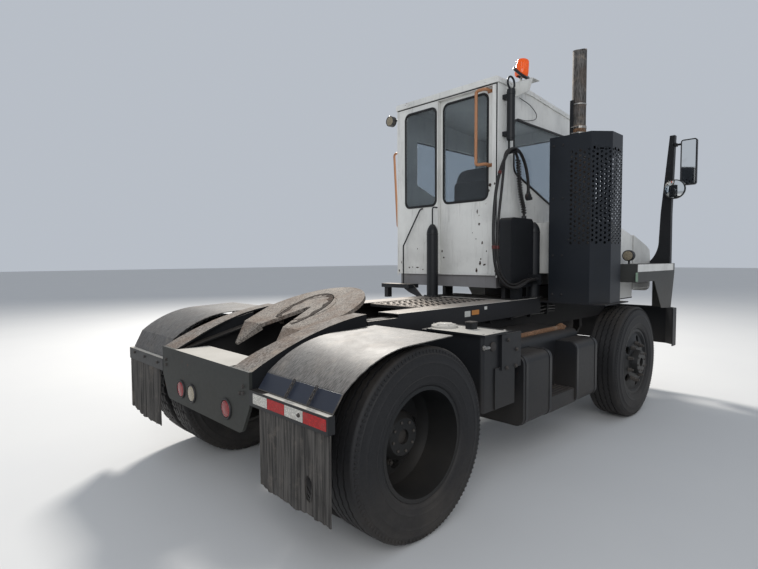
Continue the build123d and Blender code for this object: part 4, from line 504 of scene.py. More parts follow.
# Camera
camera = bpy.data.objects.new("camera", bpy.data.cameras.new("camera"))
bpy.context.collection.objects.link(camera)
SENSOR, PHOTO_WIDTH, FOCAL_LENGTH = 36.0, 758, 502.4  # mm, then two in the photo's pixels
camera.data.sensor_width = SENSOR
camera.data.lens = FOCAL_LENGTH / PHOTO_WIDTH * SENSOR
camera.data.clip_end = 300
yaw, pitch, roll = radians(45.83), radians(-2.9), radians(-0.28)
forward = Vector((cos(yaw) * cos(pitch), sin(yaw) * cos(pitch), sin(pitch)))
right = Vector((sin(yaw), -cos(yaw), 0))
up = right.cross(forward)
right, up = right * cos(roll) + up * sin(roll), up * cos(roll) - right * sin(roll)
turn = Matrix((right, up, -forward)).transposed().to_4x4()
camera.matrix_world = Matrix.Translation((ahead(-1.934), -2.838, 1.455)) @ turn
bpy.context.scene.camera = camera

# Hoses and the roof lamp's wire
AIR_ROUTE = (
    (2.25, -0.556, 1.262), (2.165, -0.556, 1.262), (2.072, -0.548, 1.228), (1.972, -0.526, 1.192),
    (1.875, -0.492, 1.216), (1.815, -0.458, 1.292), (1.786, -0.438, 1.396), (1.776, -0.429, 1.54),
    (1.777, -0.425, 1.715), (1.789, -0.424, 1.89), (1.818, -0.425, 2.06), (1.866, -0.428, 2.205),
    (1.938, -0.432, 2.33), (2.034, -0.434, 2.432), (2.166, -0.436, 2.432), (2.258, -0.437, 2.346),
    (2.312, -0.437, 2.24), (2.338, -0.435, 2.14), (2.338, -0.435, 2.075),
)
SUPPLY_ROUTE = (
    (2.25, -0.508, 1.262), (2.168, -0.508, 1.262), (2.086, -0.504, 1.236), (2.002, -0.496, 1.216),
    (1.924, -0.47, 1.242), (1.878, -0.44, 1.312), (1.86, -0.42, 1.415), (1.86, -0.41, 1.56),
    (1.88, -0.403, 1.735), (1.914, -0.399, 1.905), (1.948, -0.398, 2.07), (1.972, -0.398, 2.22),
    (1.985, -0.398, 2.342), (2.013, -0.398, 2.398), (2.064, -0.399, 2.43), (2.136, -0.4, 2.43),
    (2.187, -0.401, 2.397), (2.214, -0.401, 2.344), (2.226, -0.401, 2.24), (2.244, -0.401, 2.11),
    (2.274, -0.401, 1.995), (2.325, -0.4, 1.91), (2.325, -0.4, 1.85),
)
WIRE_ROUTE = (
    (2.34, -0.3345, 2.952), (2.4, -0.345, 2.935), (2.48, -0.35, 2.922), (2.56, -0.352, 2.893),
    (2.64, -0.35, 2.85), (2.63, -0.346, 2.806), (2.56, -0.344, 2.782), (2.45, -0.34, 2.758),
    (2.38, -0.336, 2.756), (2.317, -0.3305, 2.756),
)


def hose(name, route, radius, replaced=None, **facts):
    """A free hose: one smooth curve with the route's points as its control points."""
    curve = bpy.data.curves.new(name, "CURVE")
    curve.dimensions = "3D"
    spline = curve.splines.new("NURBS")
    spline.points.add(len(route) - 1)
    for point, (x, y, z) in zip(spline.points, route):
        point.co = (ahead(x), y, z, 1.0)
    spline.order_u = 3
    spline.use_endpoint_u = True
    spline.resolution_u = 10
    o = bpy.data.objects.new(name, curve)
    bpy.context.collection.objects.link(o)
    line = bpy.data.meshes.new_from_object(o)
    points = [v.co.copy() for v in line.vertices]
    curve.bevel_depth = radius
    curve.bevel_resolution = 5
    curve.use_fill_caps = True
    curve.materials.append(M["hose"])
    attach(o, "chassis")
    if replaced:
        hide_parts(replaced)
    return points


air_line = hose("air_hose_rubber", AIR_ROUTE, 0.014, "air_hose",
                far_end="connector", stiffness="limp", with_pieces=["glad_hand"])
supply_line = hose("supply_hose_rubber", SUPPLY_ROUTE, 0.012, "supply_hose", far_end="object", stiffness="limp")
hose("lamp_wire_rubber", WIRE_ROUTE, 0.0035, far_end="object", stiffness="medium")

# Tyres: half of the section as (radius, distance from the middle), from the bead to the shoulder
HALF_SECTION = (
    (0.287, 0.1034), (0.2984, 0.107), (0.2988, 0.114), (0.301, 0.12), (0.307, 0.1265), (0.316, 0.13),
    (0.32, 0.1318), (0.324, 0.1312), (0.329, 0.1325), (0.342, 0.1352), (0.348, 0.1372), (0.351, 0.139),
    (0.3545, 0.1392), (0.357, 0.1375), (0.363, 0.1378), (0.385, 0.139), (0.405, 0.1388), (0.415, 0.1384),
    (0.4175, 0.1396), (0.4215, 0.1396), (0.424, 0.1375), (0.44, 0.135), (0.456, 0.1318), (0.4595, 0.1328),
    (0.464, 0.1318), (0.467, 0.1285), (0.476, 0.1255), (0.486, 0.1232), (0.493, 0.1195), (0.497, 0.115),
)
GROOVES = (-0.066, -0.022, 0.022, 0.066)
RIB_MIDDLE = 0.022  # from a groove to the middle of the rib beside it
MIDDLE_RIBS = 0.03  # grooves and ribs within this keep their height where the shoulder is notched


def crown(w):
    """Radius of the tread this far from the middle."""
    return 0.5038 - 0.24 * w * w


def tyre(shape, centre, pitches, zigzag, blocks):
    """One tyre: ribbed or blocked tread between zigzag grooves, shoulder, sidewall rings and beads."""
    steps = 8 if blocks else 4
    sides = pitches * steps
    rings = []
    for k in range(sides):
        a, share = TAU * k / sides, (k % steps) / steps
        wave = (abs(2 * share - 1) * 2 - 1) * zigzag
        notch = 0.006 if blocks and share >= 0.75 else 0.0
        section = [(r, -w) for r, w in HALF_SECTION] + [(0.5012 - notch, -0.109), (0.502 - notch, -0.104)]
        for g in GROOVES:
            for dw, depth in ((-0.0058, 0.0), (-0.0042, 0.01), (0.0042, 0.01), (0.0058, 0.0)):
                w = g + dw + wave * (1 if g > 0 else -1)
                section.append((crown(w) - max(depth, 0.007 if notch and abs(g) > MIDDLE_RIBS else 0.0), w))
            if g != GROOVES[-1]:
                w = g + RIB_MIDDLE
                section.append((crown(w) - (notch if abs(w) > MIDDLE_RIBS else 0.0), w))
        section += [(0.502 - notch, 0.104), (0.5012 - notch, 0.109)]
        section += HALF_SECTION[::-1]
        rings.append([centre + Vector((cos(a) * r, w, sin(a) * r)) for r, w in section])
    shape.skin(rings, closed=False, wrap=True)
    # Small blocks moulded along the edge of each shoulder
    for side in (1, -1):
        for k in range(pitches * 2):
            a = TAU * (k + 0.5) / (pitches * 2)
            out, along = Vector((cos(a), 0, sin(a))), Vector((-sin(a), 0, cos(a)))
            p = centre + out * 0.4775 + Y * side * 0.1225
            block = rounded(0.01, 0.02, 0.0015, 1)
            shape.slab(block, p, (along * side).normalized(), out.normalized(), 0.006, 0.0008)


for name, body, x, centres, pitches, zigzag, blocks in (
    ("rear_left_tyres", "rear_left_duals", 0.0, (0.722, 1.058), 46, 0.003, True),
    ("rear_right_tyres", "rear_right_duals", 0.0, (-0.722, -1.058), 56, 0.003, False),
    ("front_left_tyre", "front_left", WHEELBASE, (1.074,), 60, 0.004, False),
    ("front_right_tyre", "front_right", WHEELBASE, (-1.074,), 60, 0.004, False),
):
    for y in centres:
        tyre(s, at(x, y, AXLE_Z), pitches, zigzag, blocks)
    s.make("moulded_" + name, "tyre", body, angle=32, replaced=name)

# Wheel nuts with washers and studs, and each hub's cap with its small bolts, on the CAD's wheels
HUB_R = 0.1005


def on_wheel(shape, x, side, face, hub_end, circle):
    """Ten nuts on a circle of this radius on the wheel's face, and the cap on the hub's end."""
    out = Y * side
    for k in range(10):
        a = TAU * (k + 0.5) / 10
        p = at(x + circle * cos(a), side * face, AXLE_Z + circle * sin(a))
        shape.lathe(p, out, [(0.021, -0.004), (0.021, 0.004), (0.018, 0.006), (0.01, 0.007)], 14)
        shape.lathe(p, out, [(0.0185, 0.005), (0.0185, 0.022), (0.016, 0.026), (0.01, 0.027)], 6)
        shape.lathe(p, out, [(0.0105, 0.02), (0.0105, 0.04), (0.009, 0.042), (0.0005, 0.042)], 10)
    hub = at(x, side * hub_end, AXLE_Z)
    shape.lathe(hub, out, [(HUB_R, -0.06), (HUB_R, -0.012), (HUB_R - 0.006, -0.004), (HUB_R - 0.022, -0.001),
                           (HUB_R - 0.03, -0.001)], 32)
    for k in range(8):
        a = TAU * k / 8 + 0.2
        shape.bolt(hub + Vector((cos(a), 0, sin(a))) * (HUB_R - 0.02) - out * 0.003, out, 0.017)


for end, duals, x, face, hub_end, circle in (
    ("rear", "_duals", 0.0, 0.9, 1.03, 0.167),
    ("front", "", WHEELBASE, 1.1915, 1.245, 0.1675),
):
    for hand, side in (("right", -1), ("left", 1)):
        on_wheel(s, x, side, face, hub_end, circle)
        s.make(f"nuts_{end}_{hand}", "iron", f"{end}_{hand}{duals}", angle=35)

# Beacon: bent bracket, base with a rubber ring, fluted lens a little off the upright
s.slab([(-0.47, 2.968), (-0.51, 3.078), (-0.332, 3.078), (-0.332, 2.948)], at(2.276, 0, 0), Y, Z, -0.006, -0.001)
s.slab(rounded(0.12, 0.178, 0.006, cx=0.0, cy=-0.421), at(2.33, 0, 3.072), X, Y, 0.006)
s.lathe(at(2.33, -0.35, 3.078), Z, [(0.014, 0.0), (0.014, 0.07)], 16)
for dx in (-0.04, 0.04):
    for dy in (-0.36, -0.48):
        s.bolt(at(2.33 + dx, dy, 3.078), Z, 0.018)
s.make("beacon_bracket", "white", replaced="beacon")
base = at(2.33, -0.35, 3.16)
axis = Matrix.Rotation(radians(46), 3, "X") @ Z
s.lathe(base, axis, [(0.03, -0.004), (0.088, -0.002), (0.094, 0.003), (0.094, 0.015), (0.09, 0.02), (0.08, 0.023),
                     (0.04, 0.023)], 40)
s.lathe(base, axis, [(0.03, -0.03), (0.03, 0.0)], 20)
s.make("beacon_base", "plastic")
rings = []
foot = base + axis * 0.012
axis = Matrix.Rotation(radians(7), 3, "X") @ Z
u = axis.orthogonal().normalized()
for r, h in ((0.05, -0.03), (0.06, -0.02), (0.0625, 0.0), (0.0625, 0.02), (0.0625, 0.028), (0.0598, 0.03),
             (0.057, 0.075), (0.0535, 0.105), (0.048, 0.117), (0.036, 0.1235), (0.018, 0.125), (0.001, 0.125)):
    flute = 0.0012 if 0.029 < h < 0.11 else 0.0
    rings.append([foot + axis * h + out * (r + (flute if k % 4 < 2 else -flute))
                  for k, out in enumerate(spokes(u, axis.cross(u), 96))])
s.skin(rings)
s.make("beacon_lens", "amber", angle=50)

# Rubber seals round the cab's windows and the door's
s.band(rounded(0.429, 0.984, 0.067, 8), at(1.9995, 0.592, 2.47), -Y, 0.024, 0.009)
side_window = softened([(2.258, 2.252), (3.452, 1.828), (3.452, 2.757), (2.258, 2.757)], 0.075, 8)
s.band(side_window, at(0, -0.3205, 0), X, 0.024, 0.009)
s.band([(-x, z) for x, z in reversed(side_window)], at(0, 0.9155, 0), -X, 0.024, 0.009)
s.band(rounded(1.059, 0.924, 0.072, 8), at(3.6005, 0.2975, 2.362), Y, 0.024, 0.009)
s.make("window_seals", "seal_and_shadow")
s.band(rounded(0.536, 0.989, 0.072, 8), at(2.0455, 0.071, 2.4855), -Y, 0.024, 0.0043)
s.make("door_seals", "seal_and_shadow", "cab_door_body")

# Rivets and panel edges on the cab
RIVET = [(0.0062, 0), (0.0055, 0.0022), (0.003, 0.0032), (0.0003, 0.0034)]
for k in range(10):
    for z in (1.322, 2.998):
        s.lathe(at(2.0002, 0.405 + 0.055 * k, z), -X, RIVET, 10)
for k in range(20):
    for y, out in ((-0.3202, -Y), (0.9152, Y)):
        s.lathe(at(2.06 + 0.078 * k, y, 1.322), out, RIVET, 10)
for k in range(10):
    s.lathe(at(2.0002, 0.897, 1.4 + 0.16 * k), -X, RIVET, 10)
for y in (0.912, -0.316):
    s.slab(rounded(0.012, 1.74, 0.003, 2), at(1.9998, y, 2.15), -Y, Z, 0.003, 0.001)
s.make("cab_rivets", "white", angle=30)

# Pads under the grab handle
for z in (2.6, 1.8):
    s.lathe(at(2.06, 0.9152, z), Y, [(0.028, 0), (0.028, 0.005), (0.022, 0.007), (0.012, 0.008)], 20)
s.make("grab_handle_pads", "copper")


# Driver's seat: padded cushion and back on a pedestal with a bellows
def power(value, exponent):
    """A power that keeps the sign, which squares up a circle's sine and cosine."""
    return copysign(abs(value) ** exponent, value)


def cushion(name, centre, size, tilt, x_seams, y_seams):
    """A stuffed pad: rounded box, bulging between sewn channels."""
    s = Shape()
    nu, nv = 64, 33
    turn = Matrix.Rotation(tilt, 3, "Y")
    rings = []
    for j in range(nv):
        v = pi * (j / (nv - 1) - 0.5)
        ring = []
        for i in range(nu):
            a = TAU * i / nu
            px, py = (power(c, 0.38) * abs(cos(v)) ** 0.42 for c in (cos(a), sin(a)))
            pz = power(sin(v), 0.7)
            groove = sum(exp(-((q - c) / 0.03) ** 2) for q, seams in ((px, x_seams), (py, y_seams)) for c in seams)
            pz *= 1 - 0.16 * min(1.0, groove) + 0.1 * (1 - px * px) * (1 - py * py)
            ring.append(centre + turn @ Vector((px * size[0] / 2, py * size[1] / 2, pz * size[2] / 2 / 1.1)))
        rings.append(ring)
    s.skin(rings)
    o = s.make(name, "seat", angle=60)


cushion("seat_cushion", at(2.75, SEAT_Y, 1.665), (0.5, 0.48, 0.115), 0.05, (-0.45, 0.05, 0.5), (-0.62, 0.62))
cushion("seat_back", at(2.502, SEAT_Y, 2.05), (0.72, 0.47, 0.11), radians(-80.5), (-0.55, -0.1, 0.35),
        (-0.62, 0.62))
s.level(rounded(0.36, 0.36, 0.04, 5, 2.76, SEAT_Y), 1.3, 0.235, 0.004)
for k in range(9):
    width = 0.33 - 0.012 * (k % 2)
    s.level(rounded(width, width, 0.04, 5, 2.76, SEAT_Y), 1.535 + 0.006 * k, 0.006, 0.001)
s.level(rounded(0.46, 0.44, 0.03, 5, 2.745, SEAT_Y), 1.588, 0.022, 0.003)
s.slab(rounded(0.4, 0.4, 0.04, 5, -SEAT_Y, 2.06), at(2.455, 0, 0), -Y, Z, 0.012, 0.003)
for side in (-1, 1):
    s.tube([at(x, SEAT_Y + side * y, z) for x, y, z in ((2.6, 0.255, 1.62), (2.53, 0.258, 1.8), (2.5, 0.255, 1.86))],
           0.012)
    s.slab(rounded(0.3, 0.055, 0.02, 5), at(2.665, SEAT_Y + side * 0.262, 1.885), X, Y, 0.03, 0.008)
s.make("seat_base", "plastic", replaced="seat")

# Mirror glasses, the housings' rims and clamps
MIRROR, ROUND_MIRROR = (1.31, 2.44), (1.196, 2.17)  # y on the left side, and z
for side in (1, -1):
    s.slab(rounded(0.132, 0.452, 0.02, 6), at(4.0095, side * MIRROR[0], MIRROR[1]), -Y, Z, 0.002, 0.0005)
    dome = [(0.092, 0.0), (0.09, 0.003), (0.07, 0.0075), (0.045, 0.011), (0.02, 0.0128), (0.0003, 0.0132)]
    s.lathe(at(3.9752, side * ROUND_MIRROR[0], ROUND_MIRROR[1]), -X, dome, 40)
s.make("mirror_glasses", "mirror")
for side in (1, -1):
    s.band(rounded(0.15, 0.47, 0.025, 6), at(4.0092, side * MIRROR[0], MIRROR[1]), -Y, 0.012, 0.006)
    rim = [(0.1, -0.004), (0.1, 0.001), (0.097, 0.004), (0.0925, 0.003), (0.0925, 0.0)]
    s.lathe(at(3.975, side * ROUND_MIRROR[0], ROUND_MIRROR[1]), -X, rim, 40)
    for z in (2.64, 2.25):
        s.slab(rounded(0.06, 0.036, 0.006, 3), at(4.05, side * 1.16, z), X, Z, 0.03)
s.make("mirror_rims", "plastic")

# Tail lamps with rubber grommets and the plate's bolts
BEAM_LAMPS = (("lamp_left", 0.271, "red"), ("lamp_white", 0.118, "clear"), ("lamp_right", -0.319, "red"))
for name, y, look in BEAM_LAMPS:
    s.lathe(at(-0.638, y, BEAM_LAMP_Z), -X, [(0.047, -0.008), (0.047, 0.016), (0.044, 0.0205), (0.036, 0.0222),
                                             (0.034, 0.021), (0.02, 0.0226), (0.0003, 0.0232)], 40)
    s.make(name, look, angle=28, replaced="tail_lamps" if name == "lamp_left" else None)
for _, y, _ in BEAM_LAMPS:
    s.lathe(at(-0.65, y, BEAM_LAMP_Z), -X, [(0.0472, -0.006), (0.0472, 0.0072), (0.0495, 0.01), (0.0535, 0.0104),
                                            (0.057, 0.008), (0.0585, 0.004), (0.0585, 0.0)], 40)
s.make("lamp_grommets", "seal_and_shadow")
for y, z in ((-0.505, 0.765), (-0.505, 0.8), (-0.47, 0.76), (0.505, 0.765), (0.505, 0.8)):
    s.bolt(at(-0.6502, y, z), -X, 0.019)
s.make("beam_bolts", "iron")

# Reflective tape on the right bar, bolts through both bars and their dusty flanges
for look, runs in (
    ("white_tape", ((-0.603, -0.735), (-0.885, -1.03))),
    ("red_tape", ((-0.735, -0.885), (-1.03, -1.198))),
):
    for y0, y1 in runs:
        outline = rounded(y0 - y1 - 0.002, 0.052, 0.003, 2)
        s.slab(outline, at(-0.6521, (y0 + y1) / 2, TAPE_Z), -Y, Z, 0.0011, 0.0003)
    s.make(look + "_strip", look)
for y, z in ((-1.0, 0.76), (0.66, 0.758), (0.9, 0.765), (1.1, 0.77)):
    s.bolt(at(-0.6522, y, z), -X, 0.017)
s.make("bar_bolts", "iron")
for y0, y1 in ((-1.204, -0.7), (0.57, 1.204)):
    s.level(rect(-0.651, y0, -0.622, y1), BAR_TOP, 0.0022, 0.0008)
s.make("bar_flanges", "dusty")

# Exhaust guard with staggered round holes, light showing through the outer corner
HOLE_R, COLUMN, ROW, SHEET = 0.0125, 0.039, 0.0428, 0.004


def holed(shape, front, back):
    """A cell with a hole: front has 8 points round the cell and 16 round its hole; back has all 24 again, or
    the hole's 16 alone, and then the cell has no face there."""
    wall = len(back) + 8
    faces = []
    for k in range(8):
        face = (k, (k + 1) % 8, 8 + (2 * k + 2) % 16, 9 + 2 * k, 8 + 2 * k)
        faces.append(face)
        if len(back) == 24:
            faces.append(tuple(24 + i for i in reversed(face)))
    for k in range(16):
        n = (k + 1) % 16
        faces.append((8 + k, 8 + n, wall + n, wall + k))
    shape.add(front + back, faces)


def perforated(shape, p, u, width, height, first):
    """A sheet of holed cells along u and up; odd columns, counted on from first, are half a row higher."""
    w = u.cross(Z)
    columns, rows = round(width / COLUMN), int(height / ROW)
    cw = width / columns
    for i in range(columns):
        shift = ROW / 2 if (i + first) % 2 else 0.0
        edges = [shift + ROW * k for k in range(rows if shift else rows + 1)]
        x0 = i * cw
        for a, b in ((0.0, edges[0]), (edges[-1], height)):
            if b > a:
                quad = [p + u * x + Z * z for x, z in ((x0, a), (x0 + cw, a), (x0 + cw, b), (x0, b))]
                shape.add(quad + [q - w * SHEET for q in quad], [(0, 1, 2, 3), (7, 6, 5, 4)])
        for a, b in zip(edges, edges[1:]):
            cx, cz = x0 + cw / 2, (a + b) / 2
            cell = [(x0 + cw, cz), (x0 + cw, b), (cx, b), (x0, b), (x0, cz), (x0, a), (cx, a), (x0 + cw, a)]
            cell += [(cx + HOLE_R * cos(TAU * k / 16), cz + HOLE_R * sin(TAU * k / 16)) for k in range(16)]
            front = [p + u * x + Z * z for x, z in cell]
            holed(shape, front, [q - w * SHEET for q in front])
    return first + columns


low, high, hole_low, hole_high = 1.05, 2.56, 1.57, 2.43
corners = [(2.48, -0.57), (2.48, -0.76), (2.48, -0.955), (2.625, -1.08), (2.855, -1.08), (3.0, -0.955),
           (3.0, -0.76), (3.0, -0.57)]
column = 0
for a, b in zip(corners, corners[1:]):
    p, q = at(*a, 0.0), at(*b, 0.0)
    u = (q - p).normalized()
    plain = -0.57 in (a[1], b[1])
    for z0, z1 in [(low, high)] if plain else [(low, hole_low), (hole_high, high)]:
        for skin in (Vector(), u.cross(Z) * -SHEET):
            s.skin([[p + skin + Z * z, q + skin + Z * z] for z in (z0, z1)], closed=False)
    if not plain:
        column = perforated(s, p + Z * hole_low, u, (q - p).length, hole_high - hole_low, column)
for z in (low, high):
    outer = [at(x, y, z) for x, y in corners]
    inner = [at(x + (SHEET if x < 2.5 else -SHEET if x > 2.99 else 0.0), y + (SHEET if y < -1.0 else 0.0), z)
             for x, y in corners]
    s.skin([outer, inner], closed=False)
for x, w in ((2.48, -X), (3.0, X)):
    s.slab(rect(-0.59, low, -0.57, high), at(x, 0, 0) - w * 0.03, Y, Z, 0.03, 0.0)
s.make("perforated_guard", "black_gloss", angle=30, replaced="muffler_guard")
for z in (2.48, 2.0, 1.48, 1.12):
    for y in (-0.61, -0.7):
        s.bolt(at(2.4798, y, z), -X, 0.018)
for y, z in ((-0.8, 2.045), (-0.835, 2.04), (-0.76, 1.62)):
    s.bolt(at(2.4798, y, z), -X, 0.016)
s.make("guard_bolts", "iron")

# Deck grating: three planks with rows of toothed slots, in their frame
GRATE_TOP, GRATE_LOW, GRATE_Y, PLANKS, SLOTS = 1.077, 1.05, 0.284, 3, 13
CELL_X, CELL_Y = 0.92 / SLOTS, 2 * GRATE_Y / PLANKS
for box in ((1.01, -0.3, 1.96, -GRATE_Y), (1.01, GRATE_Y, 1.96, 0.3), (1.01, -GRATE_Y, 1.025, GRATE_Y),
            (1.945, -GRATE_Y, 1.96, GRATE_Y)):
    s.level(rect(*box), GRATE_LOW, 0.024)
for i in range(SLOTS):
    for j in range(PLANKS):
        cx, cy = 1.025 + CELL_X * (i + 0.5), -GRATE_Y + CELL_Y * (j + 0.5)
        skew = 0.012 * (1 if i % 2 else -1)
        slot = []
        for k in range(16):
            c, d = cos(TAU * k / 16), sin(TAU * k / 16)
            slot.append((0.022 * power(c, 0.55) + skew * d * 0.5, 0.076 * power(d, 0.55), 0.0046 if k % 2 else 0.0))
        top = [at(cx + CELL_X * a, cy + CELL_Y * b, GRATE_TOP) for a, b in (
            (0.5, 0), (0.5, 0.5), (0, 0.5), (-0.5, 0.5), (-0.5, 0), (-0.5, -0.5), (0, -0.5), (0.5, -0.5))]
        top += [at(cx + a, cy + b, GRATE_TOP + h) for a, b, h in slot]
        holed(s, top, [at(cx + a * 0.94, cy + b * 0.97, 1.051) for a, b, h in slot])
for x in (1.0252, 1.9448):
    s.skin([[at(x, -GRATE_Y, z), at(x, GRATE_Y, z)] for z in (1.0735, GRATE_TOP)], closed=False)
for j in range(PLANKS + 1):
    y = -GRATE_Y + CELL_Y * j
    s.level(rect(1.026, y - 0.004, 1.944, y + 0.004), GRATE_TOP, 0.0035, 0.001)
s.make("grip_grating", "grate", angle=40, replaced="deck_grating")

# Painted highlights on the deck's edges, pale strips where the rolled edges catch the light; the white band along the
# right front fender and its label
for box in ((0.525, -0.4995, 2.44, -0.487), (1.962, -0.47, 1.99, 0.48), (0.522, -0.47, 0.534, -0.305)):
    s.level(rect(*box), DECK_TOP, 0.0022, 0.0008)
s.make("deck_edge_highlights", "edge")
s.upright(rounded(1.062, 0.07, 0.004, 3, 3.575, 1.3575), RIGHT_FENDER_Y, 0.0015, 0.0004)
s.make("fender_band", "white")
s.upright(rounded(0.062, 0.085, 0.004, 3, 3.02, 1.275), RIGHT_FENDER_Y, *LABEL)
s.make("blank_green_label", "green_label")

# Mudflaps: ribbed rubber with a ragged lower edge, one torn through
FLAP_TOP, FLAP_LOW, TEAR_SQUASH = 0.7149, 0.317, 0.42


def mudflap(shape, side, hole=None):
    """One flap; a hole is its y, z and half width, and it is taller than wide."""
    nu, nv = 141, 36
    front, back = [], []
    for j in range(nv + 1):
        v = j / nv
        row_f, row_b = [], []
        for i in range(nu + 1):
            u = i / nu
            y = 0.65 + 0.56 * u
            low = FLAP_LOW + (0.014 * noise.noise(Vector((y * 14, side * 3.0, 0.0)))
                              + 0.006 * noise.noise(Vector((y * 60, side * 7.0, 1.0))))
            low += 0.03 * max(0.0, u - 0.55) / 0.45 if side > 0 else 0.014 * max(0.0, 0.12 - u) / 0.12
            y, z = side * y, FLAP_TOP + (low - FLAP_TOP) * v
            if hole:
                d = Vector((y - hole[0], (z - hole[1]) * TEAR_SQUASH))
                r = hole[2] * (1 + 0.18 * noise.noise(Vector((d.x * 60, d.y * 60, 2))))
                if 1e-6 < d.length < r:
                    d = d.normalized() * r
                    y, z = hole[0] + d.x, hole[1] + d.y / TEAR_SQUASH
            rib = 0.0008 if (i // 2) % 2 and 0.015 < u < 0.985 else 0.0
            pleat = 0.003 * (sin(u * TAU * 5.5 + 1.2 * sin(u * 9)) + 0.5 * sin(u * TAU * 12))
            pleat *= 0.25 + 0.75 * v
            curl = 0.004 * sin(3 * u * pi) * v * v
            row_f.append(at(-0.6438 - rib + pleat + curl, y, z))
            row_b.append(at(-0.6362 + pleat + curl, y, z))
        front.append(row_f)
        back.append(row_b)
    skip = set()
    if hole:
        for j in range(nv):
            for i in range(nu):
                c = (front[j][i] + front[j + 1][i + 1]) / 2
                size = (front[j][i + 1] - front[j][i]).cross(front[j + 1][i] - front[j][i]).length
                d = Vector((c.y - hole[0], (c.z - hole[1]) * TEAR_SQUASH))
                if d.length < hole[2] * 0.93 or size < 3e-6 and d.length < hole[2] * 1.1:
                    skip.add((i, j))
    n = nu + 1
    faces = [(j * n + i, j * n + i + 1, (j + 1) * n + i + 1, (j + 1) * n + i)
             for j in range(nv) for i in range(nu) if (i, j) not in skip]
    for grid in (front, back):
        shape.add([p for row in grid for p in row], faces)
    for a, b in ((front[-1], back[-1]), (front[0], back[0])):
        shape.skin([a, b], closed=False)
    for i in (0, -1):
        shape.skin([[row[i] for row in front], [row[i] for row in back]], closed=False)


mudflap(s, 1)
mudflap(s, -1, (-1.053, 0.44, 0.026))
s.make("ribbed_mudflaps", "flap", angle=25, replaced="mudflaps")

# Door handle, thicker and a little longer than the CAD's, on flat feet
s.tube(bent([at(x, y, z) for x, y, z in (
    (2.046, -0.215, 2.977), (1.955, -0.215, 2.977), (1.955, -0.118, 2.977), (1.955, -0.118, 2.31),
    (1.955, -0.215, 2.31), (2.046, -0.215, 2.31),
)], 0.03), 0.0145, 14)
for z in (2.977, 2.31):
    s.slab(rounded(0.085, 0.032, 0.008, 3), at(2.0457, -0.225, z), -Y, Z, 0.005)
    for y in (-0.248, -0.196):
        s.bolt(at(2.0408, y, z), -X, 0.012)
s.make("door_handle_bar", "copper", "cab_door_body", replaced="door_handle")

# Corner strip; painted shadow under the roof's lip, a dark strip in the seal rubber; the roof's bolts
for box in ((0.304, 1.3, 0.318, 3.018), (-0.913, 3.012, 0.318, 3.021)):
    s.slab(rect(*box), at(1.9998, 0, 0), -Y, Z, 0.004, 0.001)
s.make("cab_corner_strip_and_roof_shadow", "seal_and_shadow")
for y in (-0.191, 0.112, 0.424, 0.735):
    s.bolt(at(1.9885, y, 3.05), -X, 0.013)
for k in range(5):
    s.bolt(at(2.2 + 0.09 * k * 3, -0.3325, 3.045 - max(0.0, (0.27 * k - 0.36)) * 0.086), -Y, 0.013)
s.make("roof_bolts", "white")


# Paint gone in patches, down to rust
def chips(shape, places, u, out):
    """Ragged patches, each a middle and two half sizes along u and up."""
    for i, (p, a, b) in enumerate(places):
        ring = []
        for k in range(18):
            t = TAU * k / 18
            r = 1 + 0.55 * noise.noise(Vector((cos(t) * 1.7 + i * 5.1, sin(t) * 1.7, i * 2.3)))
            ring.append(p + u * cos(t) * a * r + Z * sin(t) * b * r + out * 0.0004)
        shape.add(ring + [p + out * 0.0005], [(k, (k + 1) % 18, 18) for k in range(18)])


chips(s, [(at(2.0455, y, z), a, b) for y, z, a, b in (
    (-0.245, 2.85, 0.01, 0.03), (-0.248, 2.8, 0.009, 0.02), (-0.245, 2.715, 0.007, 0.012),
    (-0.247, 2.6, 0.006, 0.014), (-0.212, 2.13, 0.014, 0.016), (-0.2, 2.08, 0.008, 0.012),
    (-0.073, 1.899, 0.007, 0.018), (-0.095, 1.779, 0.01, 0.012), (-0.129, 1.601, 0.009, 0.014),
    (-0.108, 1.412, 0.011, 0.022), (-0.068, 1.344, 0.012, 0.022), (-0.156, 1.397, 0.014, 0.01),
    (-0.178, 1.523, 0.006, 0.008), (0.346, 1.531, 0.009, 0.012), (0.325, 1.467, 0.01, 0.008),
    (-0.115, 1.45, 0.006, 0.012), (-0.06, 1.64, 0.005, 0.006), (-0.02, 1.7, 0.004, 0.005),
)], -Y, -X)
s.make("door_chips", "bare", "cab_door_body")
chips(s, [(at(1.9995, y, z), a, b) for y, z, a, b in (
    (0.635, 1.56, 0.006, 0.007), (0.748, 1.365, 0.01, 0.008), (0.635, 1.366, 0.022, 0.006),
    (0.702, 1.369, 0.008, 0.005), (0.56, 1.345, 0.007, 0.006), (0.48, 1.64, 0.004, 0.005),
    (0.86, 1.42, 0.005, 0.012), (0.895, 1.33, 0.008, 0.014), (-0.3, 1.35, 0.006, 0.02),
    (-0.292, 2.13, 0.008, 0.012), (-0.296, 1.9, 0.005, 0.01),
)], -Y, -X)
chips(s, [(at(x, -0.3195, z), a, b) for x, z, a, b in (
    (2.576, 1.992, 0.008, 0.01), (2.645, 1.935, 0.006, 0.008), (2.172, 2.831, 0.012, 0.008),
    (2.546, 1.944, 0.005, 0.008), (2.19, 1.52, 0.01, 0.012), (2.44, 1.61, 0.007, 0.007),
    (2.12, 2.3, 0.008, 0.014), (2.06, 1.38, 0.012, 0.01), (2.42, 1.38, 0.014, 0.008),
    (2.205, 2.62, 0.006, 0.01),
)], X, -Y)
s.make("cab_chips", "bare")

